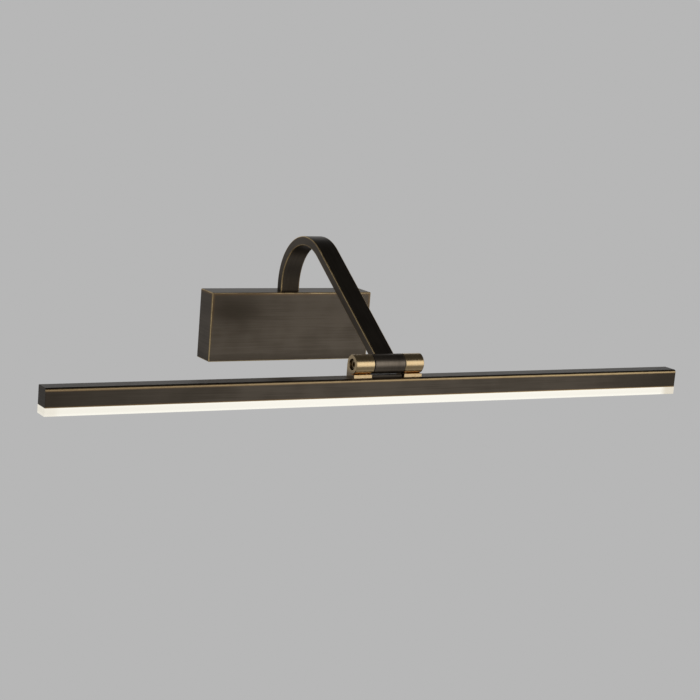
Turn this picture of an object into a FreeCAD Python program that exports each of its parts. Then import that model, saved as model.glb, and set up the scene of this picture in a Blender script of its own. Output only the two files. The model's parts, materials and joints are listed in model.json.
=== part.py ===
import FreeCAD, Part
import math
import os

from FreeCAD import Vector

# Wall-mounted picture light: a flat wall box, a bent arm over its top, a hinge barrel at the arm's
# end and a long LED bar that tilts about the barrel.
# Frame, millimetres: X along the bar, Y into the wall, Z up.
# The origin is the middle of the wall box's back face, on the wall.

# ---- overall sizes ----
BAR_LENGTH = 600.0
BAR_DEPTH = 16.0
CHANNEL_HEIGHT = 15.7
DIFFUSER_HEIGHT = 6.6
BOX_WIDTH = 162.0
BOX_HEIGHT = 63.0
BOX_DEPTH = 25.0

# ---- hinge ----
AXIS_REACH = 201.3        # hinge axis to wall
AXIS_HEIGHT = 0.8         # hinge axis above the box's middle
BARREL_D = 16.5
BARREL_LENGTH = 28.4
LUG_LENGTH = 17.6
FOOT_HEIGHT = 2.6         # lug cylinder to bar top
FOOT_FRONT = 5.3          # foot's front to hinge axis
FOOT_INSET = 0.8          # foot to the lug's inner end
WEB_FRONT = 1.0           # back web, from behind the axis to the foot's back
WASHER_T = 0.6
LUG_CHAMFER = 0.5

# ---- arm ----
ARM_WIDTH = 18.6
ARM_THICKNESS = 8.2
ARM_FORWARD = 0.5         # arm's middle in front of the box's inside middle
ARM_WALL = 1.2
ARM_BEND_R = 45.8         # centre line
ARM_RISE = 6.2            # box top to the start of the bend
ARM_EDGE_R = 0.8

# ---- wall box ----
COVER_T = 1.2
BOX_EDGE_R = 1.0
BRACKET_T = 2.0
BRACKET_SIDE_GAP = 3.8
BRACKET_TOP_GAP = 3.3
TAB_WIDTH = 16.0
TAB_DEPTH = 12.0
TAB_INSET = 21.0          # tab middle to bracket side
TAB_HOLE_Y = 8.0
HOOK_WIDTH = 9.0
HOOK_T = 1.5
HOOK_DROP = 8.0
WALL_SLOT_INSET = 8.0     # slot middle to bracket side
WALL_SLOT_R = 2.25
WALL_SLOT_LENGTH = 9.0
ENTRY_X = -48.0
ENTRY_Z = BOX_HEIGHT * 2 / 9
ENTRY_D = 8.0
GROMMET_WALL = 1.2
GROMMET_FLANGE_D = 14.0
GROMMET_FLANGE_T = 2.0

# ---- arm fixing inside the box ----
FLANGE_T = 3.0
FLANGE_SIDE = 12.0        # flange past the arm, along X
FLANGE_LIP = 3.0          # flange past the arm, along Y
STUD_D = 4.0
STUD_OUT = 5.5            # stud to the arm's side
NUT_T = 3.2
NUT_AF = 7.0

# ---- driver ----
DRIVER_X = 8.0
DRIVER_Z = -BOX_HEIGHT / 21
DRIVER_LENGTH = 72.0
DRIVER_HEIGHT = BOX_HEIGHT / 2.1
DRIVER_BASE_T = 13.5
DRIVER_LID_T = 2.5
DRIVER_WALL = 1.5
EAR_LENGTH = 7.0
EAR_WIDTH = 9.0
EAR_T = 2.0
BOARD_T = 1.6
DRIVER_BOARD_GAP = 2.5    # board to the driver's outside
DRIVER_BOARD_UP = 1.5
DRIVER_LID_R = 0.8
CORE = (14.0, 16.0, 7.5)  # transformer: length, height, thickness
CANS = ((-20, 6, 7, 8), (18, -6, 7, 8), (17, 7, 4, 6))   # x, z, thickness, diameter

# ---- terminal block ----
BLOCK_X = -48.0
BLOCK_WIDTH = 20.0
BLOCK_T = 13.0
POLE_PITCH = BOX_HEIGHT / 8
POLE_Z = -POLE_PITCH      # middle pole
WIRE_Y = 8.0
WIRE_D = 2.0
WIRE_HOLE_D = 3.4
TERMINAL_SINK = 5.0       # fixing screw's seat below the block's face
TERMINAL_M = (2.4, 3.8, 2.2)
TERMINAL_HOLE_D = 4.2
EARTH_X = -24.0
EARTH_Z = -BOX_HEIGHT * 0.365
EARTH_BEND = 7.0          # terminal block to the earth lead's bend
EARTH_BEND_R = 2.5
EARTH_TURN_R = 1.5
RING_T = 0.8
RING_TAIL = 8.0
RING_TAIL_WIDTH = 3.2

# ---- fasteners: shank, head diameter, head height ----
M25 = (2.5, 4.5, 1.8)
M3 = (3.0, 5.6, 1.9)
M4 = (4.0, 7.0, 2.6)
M5_SOCKET = (5.0, 8.5, 5.0)
M5_KEY = 4.0
M5_KEY_DEPTH = 2.8

# ---- fits ----
TOUCH = 0.02              # threads and glued joints
RUN = 0.05                # running fit, radial
LOOSE = 0.15
FREE = 0.5                # between moving pieces

# ---- pivots in the barrel ----
THREAD_DEPTH = 8.0        # pivot screw in the barrel
COUNTERBORE_D = 9.4
COUNTERBORE = 7.6
DISC_T = 0.8
CAVITY_D = 11.0
PIVOT_HEAD = 3.4
PIVOT_D = 8.0
PIVOT_BEARING = 4.6       # length carried in the right lug
WAVE_T = 0.5
PIVOT_NUT_T = 2.0
PIVOT_END = 0.3
NUT_KEY = (1.4, 0.8)      # key slot width and depth
LUG_CAVITY_D = 12.4
PLUG_T = 2.5
CABLE_D = 3.2
CABLE_ROOM = 0.6          # radial room round the cable
CABLE_TIGHT_R = 3.4
CABLE_BOX_R = 5.0
CABLE_CUT_GAP = 0.4       # pivot's end to where the cable is parted
CABLE_LEAD = 0.2          # from there to the start of its bend

# ---- bar section ----
CHANNEL_WALL = 1.2
CHANNEL_EDGE_R = 0.8
CHANNEL_FRONT_R = 2.2
CAP_T = 1.5
CAP_TONGUE = 8.0
TRAY_WALL = 1.0
TRAY_WEB = 1.5
WIRING_SPACE = 4.8
HOOK_LIP = 0.6
HOOK_H = 0.8
HOOK_UP = 0.5             # tray hook above the channel's mouth
LED_BOARD_T = 1.2
LED_PITCH = 10.0
LED_SIZE = (3.5, 2.8, 0.8)
LED_MARGIN = 8.0          # last chip to the bar's end
SPACER_MARGIN = 15.0
BOARD_GAP = 0.35          # LED board to tray wall
BOARD_PAST = 3.0          # LED board past the last chip's pitch
DIFFUSER_WALL = 1.5
DIFFUSER_LEG = 1.2
DIFFUSER_LEG_H = 2.6
DIFFUSER_EDGE_R = 0.8
BARB = 0.5
END_STUB = 3.0
SPACER_D = 5.0
SPACER_THREAD = 3.0
SADDLE_WIDTH = 7.0
SADDLE_SCREW_X = 8.0
SADDLE_TOP_T = 0.6        # left above the saddle's screw holes
LUG_PIN_D = 2.0
LUG_PIN_UP = 2.2
LUG_PIN_INSET = 2.0
LUG_SCREW_X = 4.1         # lug inner face to screw
LUG_SCREW_UP = 3.5
CONNECTOR = (10.0, 7.0, 4.0)
CONNECTOR_X = 60.0

# ---- places worked out from the sizes ----
BOX_TOP = BOX_HEIGHT / 2
INSIDE_TOP = BOX_TOP - COVER_T
BRACKET_HALF_W = BOX_WIDTH / 2 - COVER_T - BRACKET_SIDE_GAP
BRACKET_HALF_H = INSIDE_TOP - BRACKET_TOP_GAP
TAB_X = BRACKET_HALF_W - TAB_INSET
WALL_SLOT_X = BRACKET_HALF_W - WALL_SLOT_INSET
ARM_Y = -(BRACKET_T + BOX_DEPTH - COVER_T) / 2 - ARM_FORWARD
FLANGE_BOTTOM = INSIDE_TOP - FLANGE_T
STUD_X = ARM_WIDTH / 2 + STUD_OUT

BARREL_R = BARREL_D / 2
AXIS = Vector(0, -AXIS_REACH, AXIS_HEIGHT)
LUG_IN = BARREL_LENGTH / 2 + WASHER_T
LUG_OUT = LUG_IN + LUG_LENGTH
FOOT_BOTTOM = -BARREL_R - FOOT_HEIGHT
LUG_SHELF = LUG_OUT - COUNTERBORE
PIVOT_HEAD_X = BARREL_LENGTH / 2 - PIVOT_HEAD
BEARING_X = LUG_IN + PIVOT_BEARING
PIVOT_NUT_X = BEARING_X + WAVE_T
PIVOT_X = PIVOT_NUT_X + PIVOT_NUT_T + PIVOT_END
CABLE_SPLIT_X = PIVOT_X + CABLE_CUT_GAP
CABLE_DROP_X = CABLE_SPLIT_X + CABLE_LEAD + CABLE_TIGHT_R
CABLE_HOLE_R = CABLE_D / 2 + CABLE_ROOM

BEND_Y = ARM_Y - ARM_BEND_R
BEND_Z = BOX_TOP + ARM_RISE
TO_AXIS_Y = AXIS_REACH + BEND_Y
TO_AXIS_Z = BEND_Z - AXIS_HEIGHT
TO_AXIS = math.hypot(TO_AXIS_Y, TO_AXIS_Z)
ARM_SLOPE = math.atan2(TO_AXIS_Z, TO_AXIS_Y) + math.asin(ARM_BEND_R / TO_AXIS)
ARM_RUN = Vector(0, -math.cos(ARM_SLOPE), -math.sin(ARM_SLOPE))
ARM_NORMAL = Vector(0, -math.sin(ARM_SLOPE), math.cos(ARM_SLOPE))

BAR_TOP = AXIS_HEIGHT + FOOT_BOTTOM
MOUTH_Z = BAR_TOP - CHANNEL_HEIGHT
CHANNEL_INSIDE_TOP = CHANNEL_HEIGHT - CHANNEL_WALL
CHANNEL_INSIDE = BAR_DEPTH / 2 - CHANNEL_WALL
CAP_X = BAR_LENGTH / 2 - CAP_T
TRAY_OUT = CHANNEL_INSIDE - LOOSE
TRAY_IN = TRAY_OUT - TRAY_WALL
WEB_TOP = CHANNEL_INSIDE_TOP - WIRING_SPACE
WEB_BOTTOM = WEB_TOP - TRAY_WEB
BOARD_BOTTOM = WEB_BOTTOM - LED_BOARD_T
BOARD_HALF = TRAY_IN - BOARD_GAP
LED_PAIRS = int((BAR_LENGTH / 2 - LED_MARGIN) / LED_PITCH)
SPACER_END = int((BAR_LENGTH / 2 - SPACER_MARGIN) / LED_PITCH) * LED_PITCH
SPACER_MID = round(SPACER_END / 2 / LED_PITCH) * LED_PITCH
SPACER_XS = (-SPACER_END, -SPACER_MID, 0.0, SPACER_MID, SPACER_END)
LUG_SCREW_XS = (-LUG_IN - LUG_SCREW_X, LUG_IN + LUG_SCREW_X)
LUG_PIN_XS = (-LUG_OUT + LUG_PIN_INSET + LUG_PIN_D, LUG_OUT - LUG_PIN_INSET)
SADDLE_TOP = -BARREL_R - FREE
CABLE_RUN_V = CHANNEL_INSIDE_TOP - WIRING_SPACE / 2


# ---- shape helpers ----
def block(x, y, z):
    """Box between two x, two y and two z values, given as pairs in any order."""
    low = Vector(min(x), min(y), min(z))
    return Part.makeBox(abs(x[1] - x[0]), abs(y[1] - y[0]), abs(z[1] - z[0]), low)


def rod(start, end, diameter):
    """Round bar from one point to another."""
    run = end.sub(start)
    return Part.makeCylinder(diameter / 2, run.Length, start, run)


def axle(x0, x1, diameter):
    """Round bar on the hinge axis."""
    return rod(AXIS + Vector(x0, 0, 0), AXIS + Vector(x1, 0, 0), diameter)


def pin_y(x, z, y0, y1, diameter):
    return rod(Vector(x, y0, z), Vector(x, y1, z), diameter)


def outline_x(points, x0, x1):
    """Closed outline of (y, z) points, extruded along X."""
    ring = [Vector(x0, y, z) for y, z in points]
    face = Part.Face(Part.makePolygon(ring + ring[:1]))
    return face.extrude(Vector(x1 - x0, 0, 0))


def bar_outline(points, x0, x1):
    """The same, with points given from the bar's middle and the channel's mouth."""
    return outline_x([(u - AXIS_REACH, v + MOUTH_Z) for u, v in points], x0, x1)


def bar_block(x, u, v):
    return block(x, (u[0] - AXIS_REACH, u[1] - AXIS_REACH), (v[0] + MOUTH_Z, v[1] + MOUTH_Z))


def mirrored(half):
    """Outline from its left half, given from bottom middle to top middle."""
    return half + [(-u, v) for u, v in reversed(half)]


def edges_along(shape, axis, test):
    """Straight edges parallel to an axis whose middle passes the test."""
    found = []
    for edge in shape.Edges:
        if edge.Curve.TypeId != "Part::GeomLine" or len(edge.Vertexes) < 2:
            continue
        run = edge.Vertexes[1].Point.sub(edge.Vertexes[0].Point).normalize()
        if abs(run.dot(axis)) > 0.999 and test(edge.CenterOfMass):
            found.append(edge)
    return found


def screw(place, way, size, length, drive=None):
    """Screw with its head's bearing face at place, its shank pointing along way."""
    shank_d, head_d, head_h = size
    head = Part.makeCylinder(head_d / 2, head_h, Vector(0, 0, -head_h))
    rim = [edge for edge in head.Edges if edge.CenterOfMass.z < -0.9 * head_h and not edge.isSeam(head.Faces[0])]
    head = head.makeChamfer(min(0.3, head_h / 5), rim[:1])
    body = head.fuse(Part.makeCylinder(shank_d / 2, length)).removeSplitter()
    if drive is None:
        slot_w = head_d * 0.16
        slot_l = head_d * 0.6
        for w, l in ((slot_w, slot_l), (slot_l, slot_w)):
            body = body.cut(Part.makeBox(w, l, head_h * 0.5, Vector(-w / 2, -l / 2, -head_h - 0.01)))
    else:
        body = body.cut(hexagon(drive[0], drive[1] + 0.01, -head_h - 0.01))
    body.Placement = FreeCAD.Placement(place, FreeCAD.Rotation(Vector(0, 0, 1), way))
    return body


def hexagon(across_flats, height, z):
    corner = across_flats / math.sqrt(3)
    ring = [Vector(corner * math.cos(math.radians(60 * i)), corner * math.sin(math.radians(60 * i)), z)
            for i in range(7)]
    return Part.Face(Part.makePolygon(ring)).extrude(Vector(0, 0, height))


def slot_xy(x, z, length, radius, y0, y1):
    """Slotted hole through a wall, long along X."""
    reach = length / 2 - radius
    hole = block((x - reach, x + reach), (y0, y1), (z - radius, z + radius))
    for end in (x - reach, x + reach):
        hole = hole.fuse(pin_y(end, z, y0, y1, 2 * radius))
    return hole.removeSplitter()


def tube_along(points, radii, diameter):
    """Solid cord along straight runs joined by tangent arcs, one radius for each inner point."""
    edges = []
    start = points[0]
    for i, radius in enumerate(radii):
        corner = points[i + 1]
        back = points[i].sub(corner).normalize()
        on = points[i + 2].sub(corner).normalize()
        half = math.acos(max(-1.0, min(1.0, back.dot(on)))) / 2
        reach = radius / math.tan(half)
        arc_in = corner + back * reach
        arc_out = corner + on * reach
        centre = corner + (back + on).normalize() * (radius / math.sin(half))
        arc_mid = centre + corner.sub(centre).normalize() * radius
        if arc_in.sub(start).Length > 1e-6:
            edges.append(Part.LineSegment(start, arc_in).toShape())
        edges.append(Part.Arc(arc_in, arc_mid, arc_out).toShape())
        start = arc_out
    edges.append(Part.LineSegment(start, points[-1]).toShape())
    path = Part.Wire(edges)
    way = points[1].sub(points[0])
    ring = Part.Wire([Part.Circle(points[0], way, diameter / 2).toShape()])
    return path.makePipeShell([ring], True, False)


# ---- wall box ----
def wall_bracket():
    plate = block((-BRACKET_HALF_W, BRACKET_HALF_W), (0, -BRACKET_T), (-BRACKET_HALF_H, BRACKET_HALF_H))
    for side in (-1, 1):
        x = side * TAB_X
        wide = (x - TAB_WIDTH / 2, x + TAB_WIDTH / 2)
        for top in (BRACKET_HALF_H, -BRACKET_HALF_H + BRACKET_T):
            plate = plate.fuse(block(wide, (0, -TAB_DEPTH), (top - BRACKET_T, top)))
        slot = block((x - HOOK_WIDTH / 2 - LOOSE, x + HOOK_WIDTH / 2 + LOOSE),
                     (-TAB_HOLE_Y - HOOK_T / 2 - LOOSE, -TAB_HOLE_Y + HOOK_T / 2 + LOOSE),
                     (BRACKET_HALF_H - BRACKET_T - 1, BRACKET_HALF_H + 1))
        plate = plate.cut(slot)
        low = Vector(x, -TAB_HOLE_Y, -BRACKET_HALF_H - 1)
        plate = plate.cut(rod(low, low + Vector(0, 0, BRACKET_T + 2), M3[0] + 2 * TOUCH))
        plate = plate.cut(slot_xy(side * WALL_SLOT_X, 0, WALL_SLOT_LENGTH, WALL_SLOT_R, 1, -BRACKET_T - 1))
    plate = plate.cut(pin_y(ENTRY_X, ENTRY_Z, 1, -BRACKET_T - 1, ENTRY_D + 2 * GROMMET_WALL + 2 * TOUCH))
    for x, z, size in plate_screws():
        plate = plate.cut(pin_y(x, z, 1, -BRACKET_T - 1, size[0] + 2 * TOUCH))
    return plate.removeSplitter()


def plate_screws():
    """Threaded holes in the bracket: driver ears, terminal block and earth."""
    reach = DRIVER_LENGTH / 2 + EAR_LENGTH / 2
    ears = [(DRIVER_X + side * reach, DRIVER_Z, M3) for side in (-1, 1)]
    block_z = POLE_Z + POLE_PITCH / 2
    return ears + [(BLOCK_X, block_z, M3), (EARTH_X, EARTH_Z, M4)]


def cover():
    half_w = BOX_WIDTH / 2
    shell = block((-half_w, half_w), (0, -BOX_DEPTH), (-BOX_TOP, BOX_TOP))
    outer = [edge for edge in shell.Edges if edge.CenterOfMass.y < -0.1]
    shell = shell.makeFillet(min(BOX_EDGE_R, 0.8 * COVER_T), outer)
    inside_w = half_w - COVER_T
    shell = shell.cut(block((-inside_w, inside_w), (1, COVER_T - BOX_DEPTH), (-INSIDE_TOP, INSIDE_TOP)))
    half_x = ARM_WIDTH / 2 + LOOSE
    half_y = ARM_THICKNESS / 2 + LOOSE
    shell = shell.cut(block((-half_x, half_x), (ARM_Y - half_y, ARM_Y + half_y), (INSIDE_TOP - 1, BOX_TOP + 1)))
    for side in (-1, 1):
        low = Vector(side * TAB_X, -TAB_HOLE_Y, -BOX_TOP - 1)
        shell = shell.cut(rod(low, low + Vector(0, 0, COVER_T + 2), M3[0] + 2 * LOOSE))
    return shell


def cover_hooks():
    blades = []
    for x in (-TAB_X, TAB_X):
        blades.append(block((x - HOOK_WIDTH / 2, x + HOOK_WIDTH / 2),
                            (-TAB_HOLE_Y - HOOK_T / 2, -TAB_HOLE_Y + HOOK_T / 2),
                            (INSIDE_TOP - HOOK_DROP, INSIDE_TOP)))
    return Part.makeCompound(blades)


def cover_screws():
    length = COVER_T + BRACKET_TOP_GAP + BRACKET_T + 1
    return Part.makeCompound([screw(Vector(x, -TAB_HOLE_Y, -BOX_TOP), Vector(0, 0, 1), M3, length)
                              for x in (-TAB_X, TAB_X)])


def cable_grommet():
    neck_d = ENTRY_D + 2 * GROMMET_WALL
    ring = pin_y(ENTRY_X, ENTRY_Z, 0, -BRACKET_T, neck_d)
    ring = ring.fuse(pin_y(ENTRY_X, ENTRY_Z, -BRACKET_T, -BRACKET_T - GROMMET_FLANGE_T, GROMMET_FLANGE_D))
    return ring.cut(pin_y(ENTRY_X, ENTRY_Z, 1, -BRACKET_T - GROMMET_FLANGE_T - 1, ENTRY_D)).removeSplitter()


# ---- arm fixing ----
def arm_flange():
    half_x = ARM_WIDTH / 2
    half_y = ARM_THICKNESS / 2
    plate = block((-half_x - FLANGE_SIDE, half_x + FLANGE_SIDE),
                  (ARM_Y - half_y - FLANGE_LIP, ARM_Y + half_y + FLANGE_LIP), (FLANGE_BOTTOM, INSIDE_TOP))
    plate = plate.cut(block((-half_x - TOUCH, half_x + TOUCH), (ARM_Y - half_y - TOUCH, ARM_Y + half_y + TOUCH),
                            (FLANGE_BOTTOM - 1, INSIDE_TOP + 1)))
    for x in (-STUD_X, STUD_X):
        low = Vector(x, ARM_Y, FLANGE_BOTTOM - 1)
        plate = plate.cut(rod(low, low + Vector(0, 0, FLANGE_T + 2), STUD_D + 2 * LOOSE))
    return plate


def flange_studs():
    return Part.makeCompound([rod(Vector(x, ARM_Y, FLANGE_BOTTOM - NUT_T - 1), Vector(x, ARM_Y, INSIDE_TOP), STUD_D)
                              for x in (-STUD_X, STUD_X)])


def flange_nuts():
    nuts = []
    for x in (-STUD_X, STUD_X):
        nut = hexagon(NUT_AF, NUT_T, 0).cut(Part.makeCylinder(STUD_D / 2 + TOUCH, NUT_T + 2, Vector(0, 0, -1)))
        nut.translate(Vector(x, ARM_Y, FLANGE_BOTTOM - NUT_T))
        nuts.append(nut)
    return Part.makeCompound(nuts)


# ---- arm ----
def arm_strip(half_t, half_w, low_z):
    """The arm's bent bar: up from the box, over the bend and straight to the hinge axis."""
    centre = Vector(-half_w, BEND_Y, BEND_Z)
    end = Vector(-half_w, AXIS.y, AXIS.z)
    half_turn = (math.pi / 2 + ARM_SLOPE) / 2
    mid_way = Vector(0, math.cos(half_turn), math.sin(half_turn))
    back = Vector(0, 1, 0)
    far = ARM_BEND_R + half_t
    near = ARM_BEND_R - half_t
    corners = [Vector(-half_w, ARM_Y + half_t, low_z), centre + back * far, centre + ARM_NORMAL * far,
               end + ARM_NORMAL * half_t, end - ARM_NORMAL * half_t, centre + ARM_NORMAL * near,
               centre + back * near, Vector(-half_w, ARM_Y - half_t, low_z)]
    edges = [Part.LineSegment(corners[0], corners[1]),
             Part.Arc(corners[1], centre + mid_way * far, corners[2]),
             Part.LineSegment(corners[2], corners[3]),
             Part.LineSegment(corners[3], corners[4]),
             Part.LineSegment(corners[4], corners[5]),
             Part.Arc(corners[5], centre + mid_way * near, corners[6]),
             Part.LineSegment(corners[6], corners[7]),
             Part.LineSegment(corners[7], corners[0])]
    face = Part.Face(Part.Wire([edge.toShape() for edge in edges]))
    return face.extrude(Vector(2 * half_w, 0, 0))


def arm():
    half_t = ARM_THICKNESS / 2
    half_w = ARM_WIDTH / 2
    tube = arm_strip(half_t, half_w, FLANGE_BOTTOM)
    long_edges = []
    for edge in tube.Edges:
        on_side = abs(abs(edge.CenterOfMass.x) - half_w) < 1e-6
        if on_side and edge.Length > 2 * ARM_THICKNESS:
            long_edges.append(edge)
    tube = tube.makeFillet(min(ARM_EDGE_R, 0.8 * ARM_WALL), long_edges)
    tube = tube.cut(arm_strip(half_t - ARM_WALL, half_w - ARM_WALL, FLANGE_BOTTOM))
    return tube.cut(axle(-half_w - 1, half_w + 1, BARREL_D))


def arm_cable():
    inlet_x = DRIVER_X + DRIVER_LENGTH / 2
    run_z = FLANGE_BOTTOM - NUT_T - 1 - CABLE_D
    turn_x = inlet_x + CABLE_BOX_R + 2
    corner_z = BEND_Z + ARM_BEND_R * math.tan((math.pi / 2 + ARM_SLOPE) / 2)
    points = [AXIS + Vector(CABLE_SPLIT_X, 0, 0), AXIS, Vector(0, ARM_Y, corner_z), Vector(0, ARM_Y, run_z),
              Vector(turn_x, ARM_Y, run_z), Vector(turn_x, ARM_Y, DRIVER_Z),
              Vector(inlet_x - DRIVER_WALL - 1, ARM_Y, DRIVER_Z)]
    radii = [CABLE_TIGHT_R, ARM_BEND_R, CABLE_BOX_R, CABLE_BOX_R, CABLE_BOX_R]
    return tube_along(points, radii, CABLE_D)


# ---- hinge ----
def barrel():
    half = BARREL_LENGTH / 2
    body = axle(-half, half, BARREL_D)
    body = body.cut(axle(-half - 1, half, M5_SOCKET[0] + 2 * RUN))
    body = body.cut(axle(THREAD_DEPTH - half, half + 1, CAVITY_D))
    return body.cut(rod(AXIS, AXIS - ARM_RUN * BARREL_D, 2 * CABLE_HOLE_R))


def chamfered_lug(side):
    """Lug cylinder on the axis, its flat foot on the bar's top and a web down its back."""
    body = axle(side * LUG_IN, side * LUG_OUT, BARREL_D)
    rims = [edge for edge in body.Edges if edge.Curve.TypeId == "Part::GeomCircle"]
    body = body.makeChamfer(LUG_CHAMFER, rims)
    wide = (side * (LUG_IN + FOOT_INSET), side * LUG_OUT)
    back = AXIS.y + min(BAR_DEPTH / 2, BARREL_R)
    foot = block(wide, (AXIS.y - FOOT_FRONT, back), (BAR_TOP, AXIS.z - BARREL_R + LOOSE))
    web = block(wide, (AXIS.y + WEB_FRONT, back), (BAR_TOP, AXIS.z))
    return body.fuse(foot).fuse(web).removeSplitter()


def foot_hole(x, diameter, up):
    low = Vector(x, AXIS.y, BAR_TOP - 1)
    return rod(low, low + Vector(0, 0, up + 1), diameter)


def lug_left():
    lug = chamfered_lug(-1)
    lug = lug.cut(axle(-LUG_OUT - 1, -LUG_IN + 1, M5_SOCKET[0] + 2 * RUN))
    lug = lug.cut(axle(-LUG_OUT - 1, -LUG_SHELF, COUNTERBORE_D))
    lug = lug.cut(foot_hole(LUG_SCREW_XS[0], M4[0] + 2 * TOUCH, LUG_SCREW_UP + 0.5))
    return lug.cut(foot_hole(LUG_PIN_XS[0], LUG_PIN_D + 2 * TOUCH, LUG_PIN_UP + 0.2))


def lug_right():
    lug = chamfered_lug(1)
    lug = lug.cut(axle(LUG_IN - 1, LUG_OUT + 1, PIVOT_D + 2 * RUN))
    lug = lug.cut(axle(BEARING_X, LUG_OUT + 1, LUG_CAVITY_D))
    lug = lug.cut(foot_hole(CABLE_DROP_X, 2 * CABLE_HOLE_R, -FOOT_BOTTOM))
    lug = lug.cut(foot_hole(LUG_SCREW_XS[1], M4[0] + 2 * TOUCH, LUG_SCREW_UP + 0.2))
    return lug.cut(foot_hole(LUG_PIN_XS[1], LUG_PIN_D + 2 * TOUCH, LUG_PIN_UP + 0.2))


def lug_plug():
    return axle(LUG_OUT - PLUG_T, LUG_OUT, LUG_CAVITY_D - 2 * TOUCH)


def washer(x0, x1, inner, outer):
    return axle(x0, x1, outer).cut(axle(x0 - 1, x1 + 1, inner))


def pivot_screw():
    length = DISC_T + LUG_SHELF - LUG_IN + WASHER_T + THREAD_DEPTH + 0.6
    place = AXIS + Vector(-LUG_SHELF - DISC_T, 0, 0)
    return screw(place, Vector(1, 0, 0), M5_SOCKET, length, (M5_KEY, M5_KEY_DEPTH))


def hollow_pivot():
    body = axle(PIVOT_HEAD_X, BARREL_LENGTH / 2, CAVITY_D - 2 * TOUCH)
    body = body.fuse(axle(BARREL_LENGTH / 2, PIVOT_X, PIVOT_D)).removeSplitter()
    return body.cut(axle(PIVOT_HEAD_X - 1, PIVOT_X + 1, 2 * CABLE_HOLE_R))


def pivot_nut():
    nut = washer(PIVOT_NUT_X, PIVOT_NUT_X + PIVOT_NUT_T, PIVOT_D + 2 * TOUCH, LUG_CAVITY_D - 2 * FREE)
    key = block((PIVOT_NUT_X + PIVOT_NUT_T - NUT_KEY[1], PIVOT_NUT_X + PIVOT_NUT_T + 1),
                (AXIS.y - LUG_CAVITY_D, AXIS.y + LUG_CAVITY_D), (AXIS.z - NUT_KEY[0] / 2, AXIS.z + NUT_KEY[0] / 2))
    return nut.cut(key)


def saddle():
    half_x = LUG_IN - LOOSE
    body = block((-half_x, half_x), (AXIS.y - SADDLE_WIDTH / 2, AXIS.y + SADDLE_WIDTH / 2),
                 (BAR_TOP, AXIS_HEIGHT + SADDLE_TOP))
    for x in (-SADDLE_SCREW_X, SADDLE_SCREW_X):
        body = body.cut(foot_hole(x, M25[0] + 2 * TOUCH, FOOT_HEIGHT - FREE - SADDLE_TOP_T))
    return body


# ---- bar ----
def rounded_bar(x):
    """Solid of the channel's outline: a full round along the top's front, a small one along its back."""
    half = BAR_DEPTH / 2
    body = bar_block(x, (-half, half), (0, CHANNEL_HEIGHT))
    for radius, behind in ((min(CHANNEL_FRONT_R, 1.9 * CHANNEL_WALL), False),
                           (min(CHANNEL_EDGE_R, 0.8 * CHANNEL_WALL), True)):
        edge_y = AXIS.y + (half if behind else -half)
        top = edges_along(body, Vector(1, 0, 0), lambda p: p.z > BAR_TOP - 0.1 and abs(p.y - edge_y) < 0.1)
        body = body.makeFillet(radius, top)
    return body


def channel():
    body = rounded_bar((-CAP_X, CAP_X))
    body = body.cut(bar_block((-CAP_X - 1, CAP_X + 1), (-CHANNEL_INSIDE, CHANNEL_INSIDE), (-1, CHANNEL_INSIDE_TOP)))
    holes = [(x, M4[0] + 2 * LOOSE) for x in LUG_SCREW_XS]
    holes += [(x, LUG_PIN_D + 2 * TOUCH) for x in LUG_PIN_XS]
    holes += [(x, M25[0] + 2 * LOOSE) for x in (-SADDLE_SCREW_X, SADDLE_SCREW_X)]
    holes.append((CABLE_DROP_X, CABLE_D + 2 * GROMMET_WALL))
    for x, diameter in holes:
        low = Vector(x, AXIS.y, BAR_TOP - CHANNEL_WALL - 1)
        body = body.cut(rod(low, low + Vector(0, 0, CHANNEL_WALL + 2), diameter))
    return body


def end_cap(side):
    x0 = side * CAP_X
    plate = rounded_bar((x0, side * BAR_LENGTH / 2))
    tongue_half = TRAY_IN - TOUCH
    tongue = bar_block((x0, x0 - side * CAP_TONGUE), (-tongue_half, tongue_half),
                       (WEB_TOP + TOUCH, CHANNEL_INSIDE_TOP - LOOSE))
    return plate.fuse(tongue).removeSplitter()


def led_tray():
    lip = TRAY_IN - HOOK_LIP
    half = [(-TRAY_IN, WEB_BOTTOM), (-TRAY_IN, HOOK_UP + HOOK_H), (-lip, HOOK_UP + HOOK_H), (-lip, HOOK_UP),
            (-TRAY_OUT, HOOK_UP), (-TRAY_OUT, CHANNEL_INSIDE_TOP - LOOSE),
            (-TRAY_IN, CHANNEL_INSIDE_TOP - LOOSE), (-TRAY_IN, WEB_TOP)]
    body = bar_outline(mirrored(half), -CAP_X + LOOSE, CAP_X - LOOSE)
    for x in SPACER_XS:
        body = body.cut(bar_hole(x, M3[0] + 2 * LOOSE, WEB_BOTTOM - 1, WEB_TOP + 1))
    return body


def bar_hole(x, diameter, v0, v1):
    return rod(Vector(x, AXIS.y, MOUTH_Z + v0), Vector(x, AXIS.y, MOUTH_Z + v1), diameter)


def tray_spacers():
    posts = []
    for x in SPACER_XS:
        post = bar_hole(x, SPACER_D, WEB_TOP, CHANNEL_INSIDE_TOP)
        posts.append(post.cut(bar_hole(x, M3[0] + 2 * TOUCH, WEB_TOP - 1, WEB_TOP + SPACER_THREAD + 0.5)))
    return Part.makeCompound(posts)


def led_board():
    reach = LED_PAIRS * LED_PITCH + BOARD_PAST
    body = bar_block((-reach, reach), (-BOARD_HALF, BOARD_HALF), (BOARD_BOTTOM, WEB_BOTTOM))
    for x in SPACER_XS:
        body = body.cut(bar_hole(x, M3[0] + 2 * LOOSE, BOARD_BOTTOM - 1, WEB_BOTTOM + 1))
    return body


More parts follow.
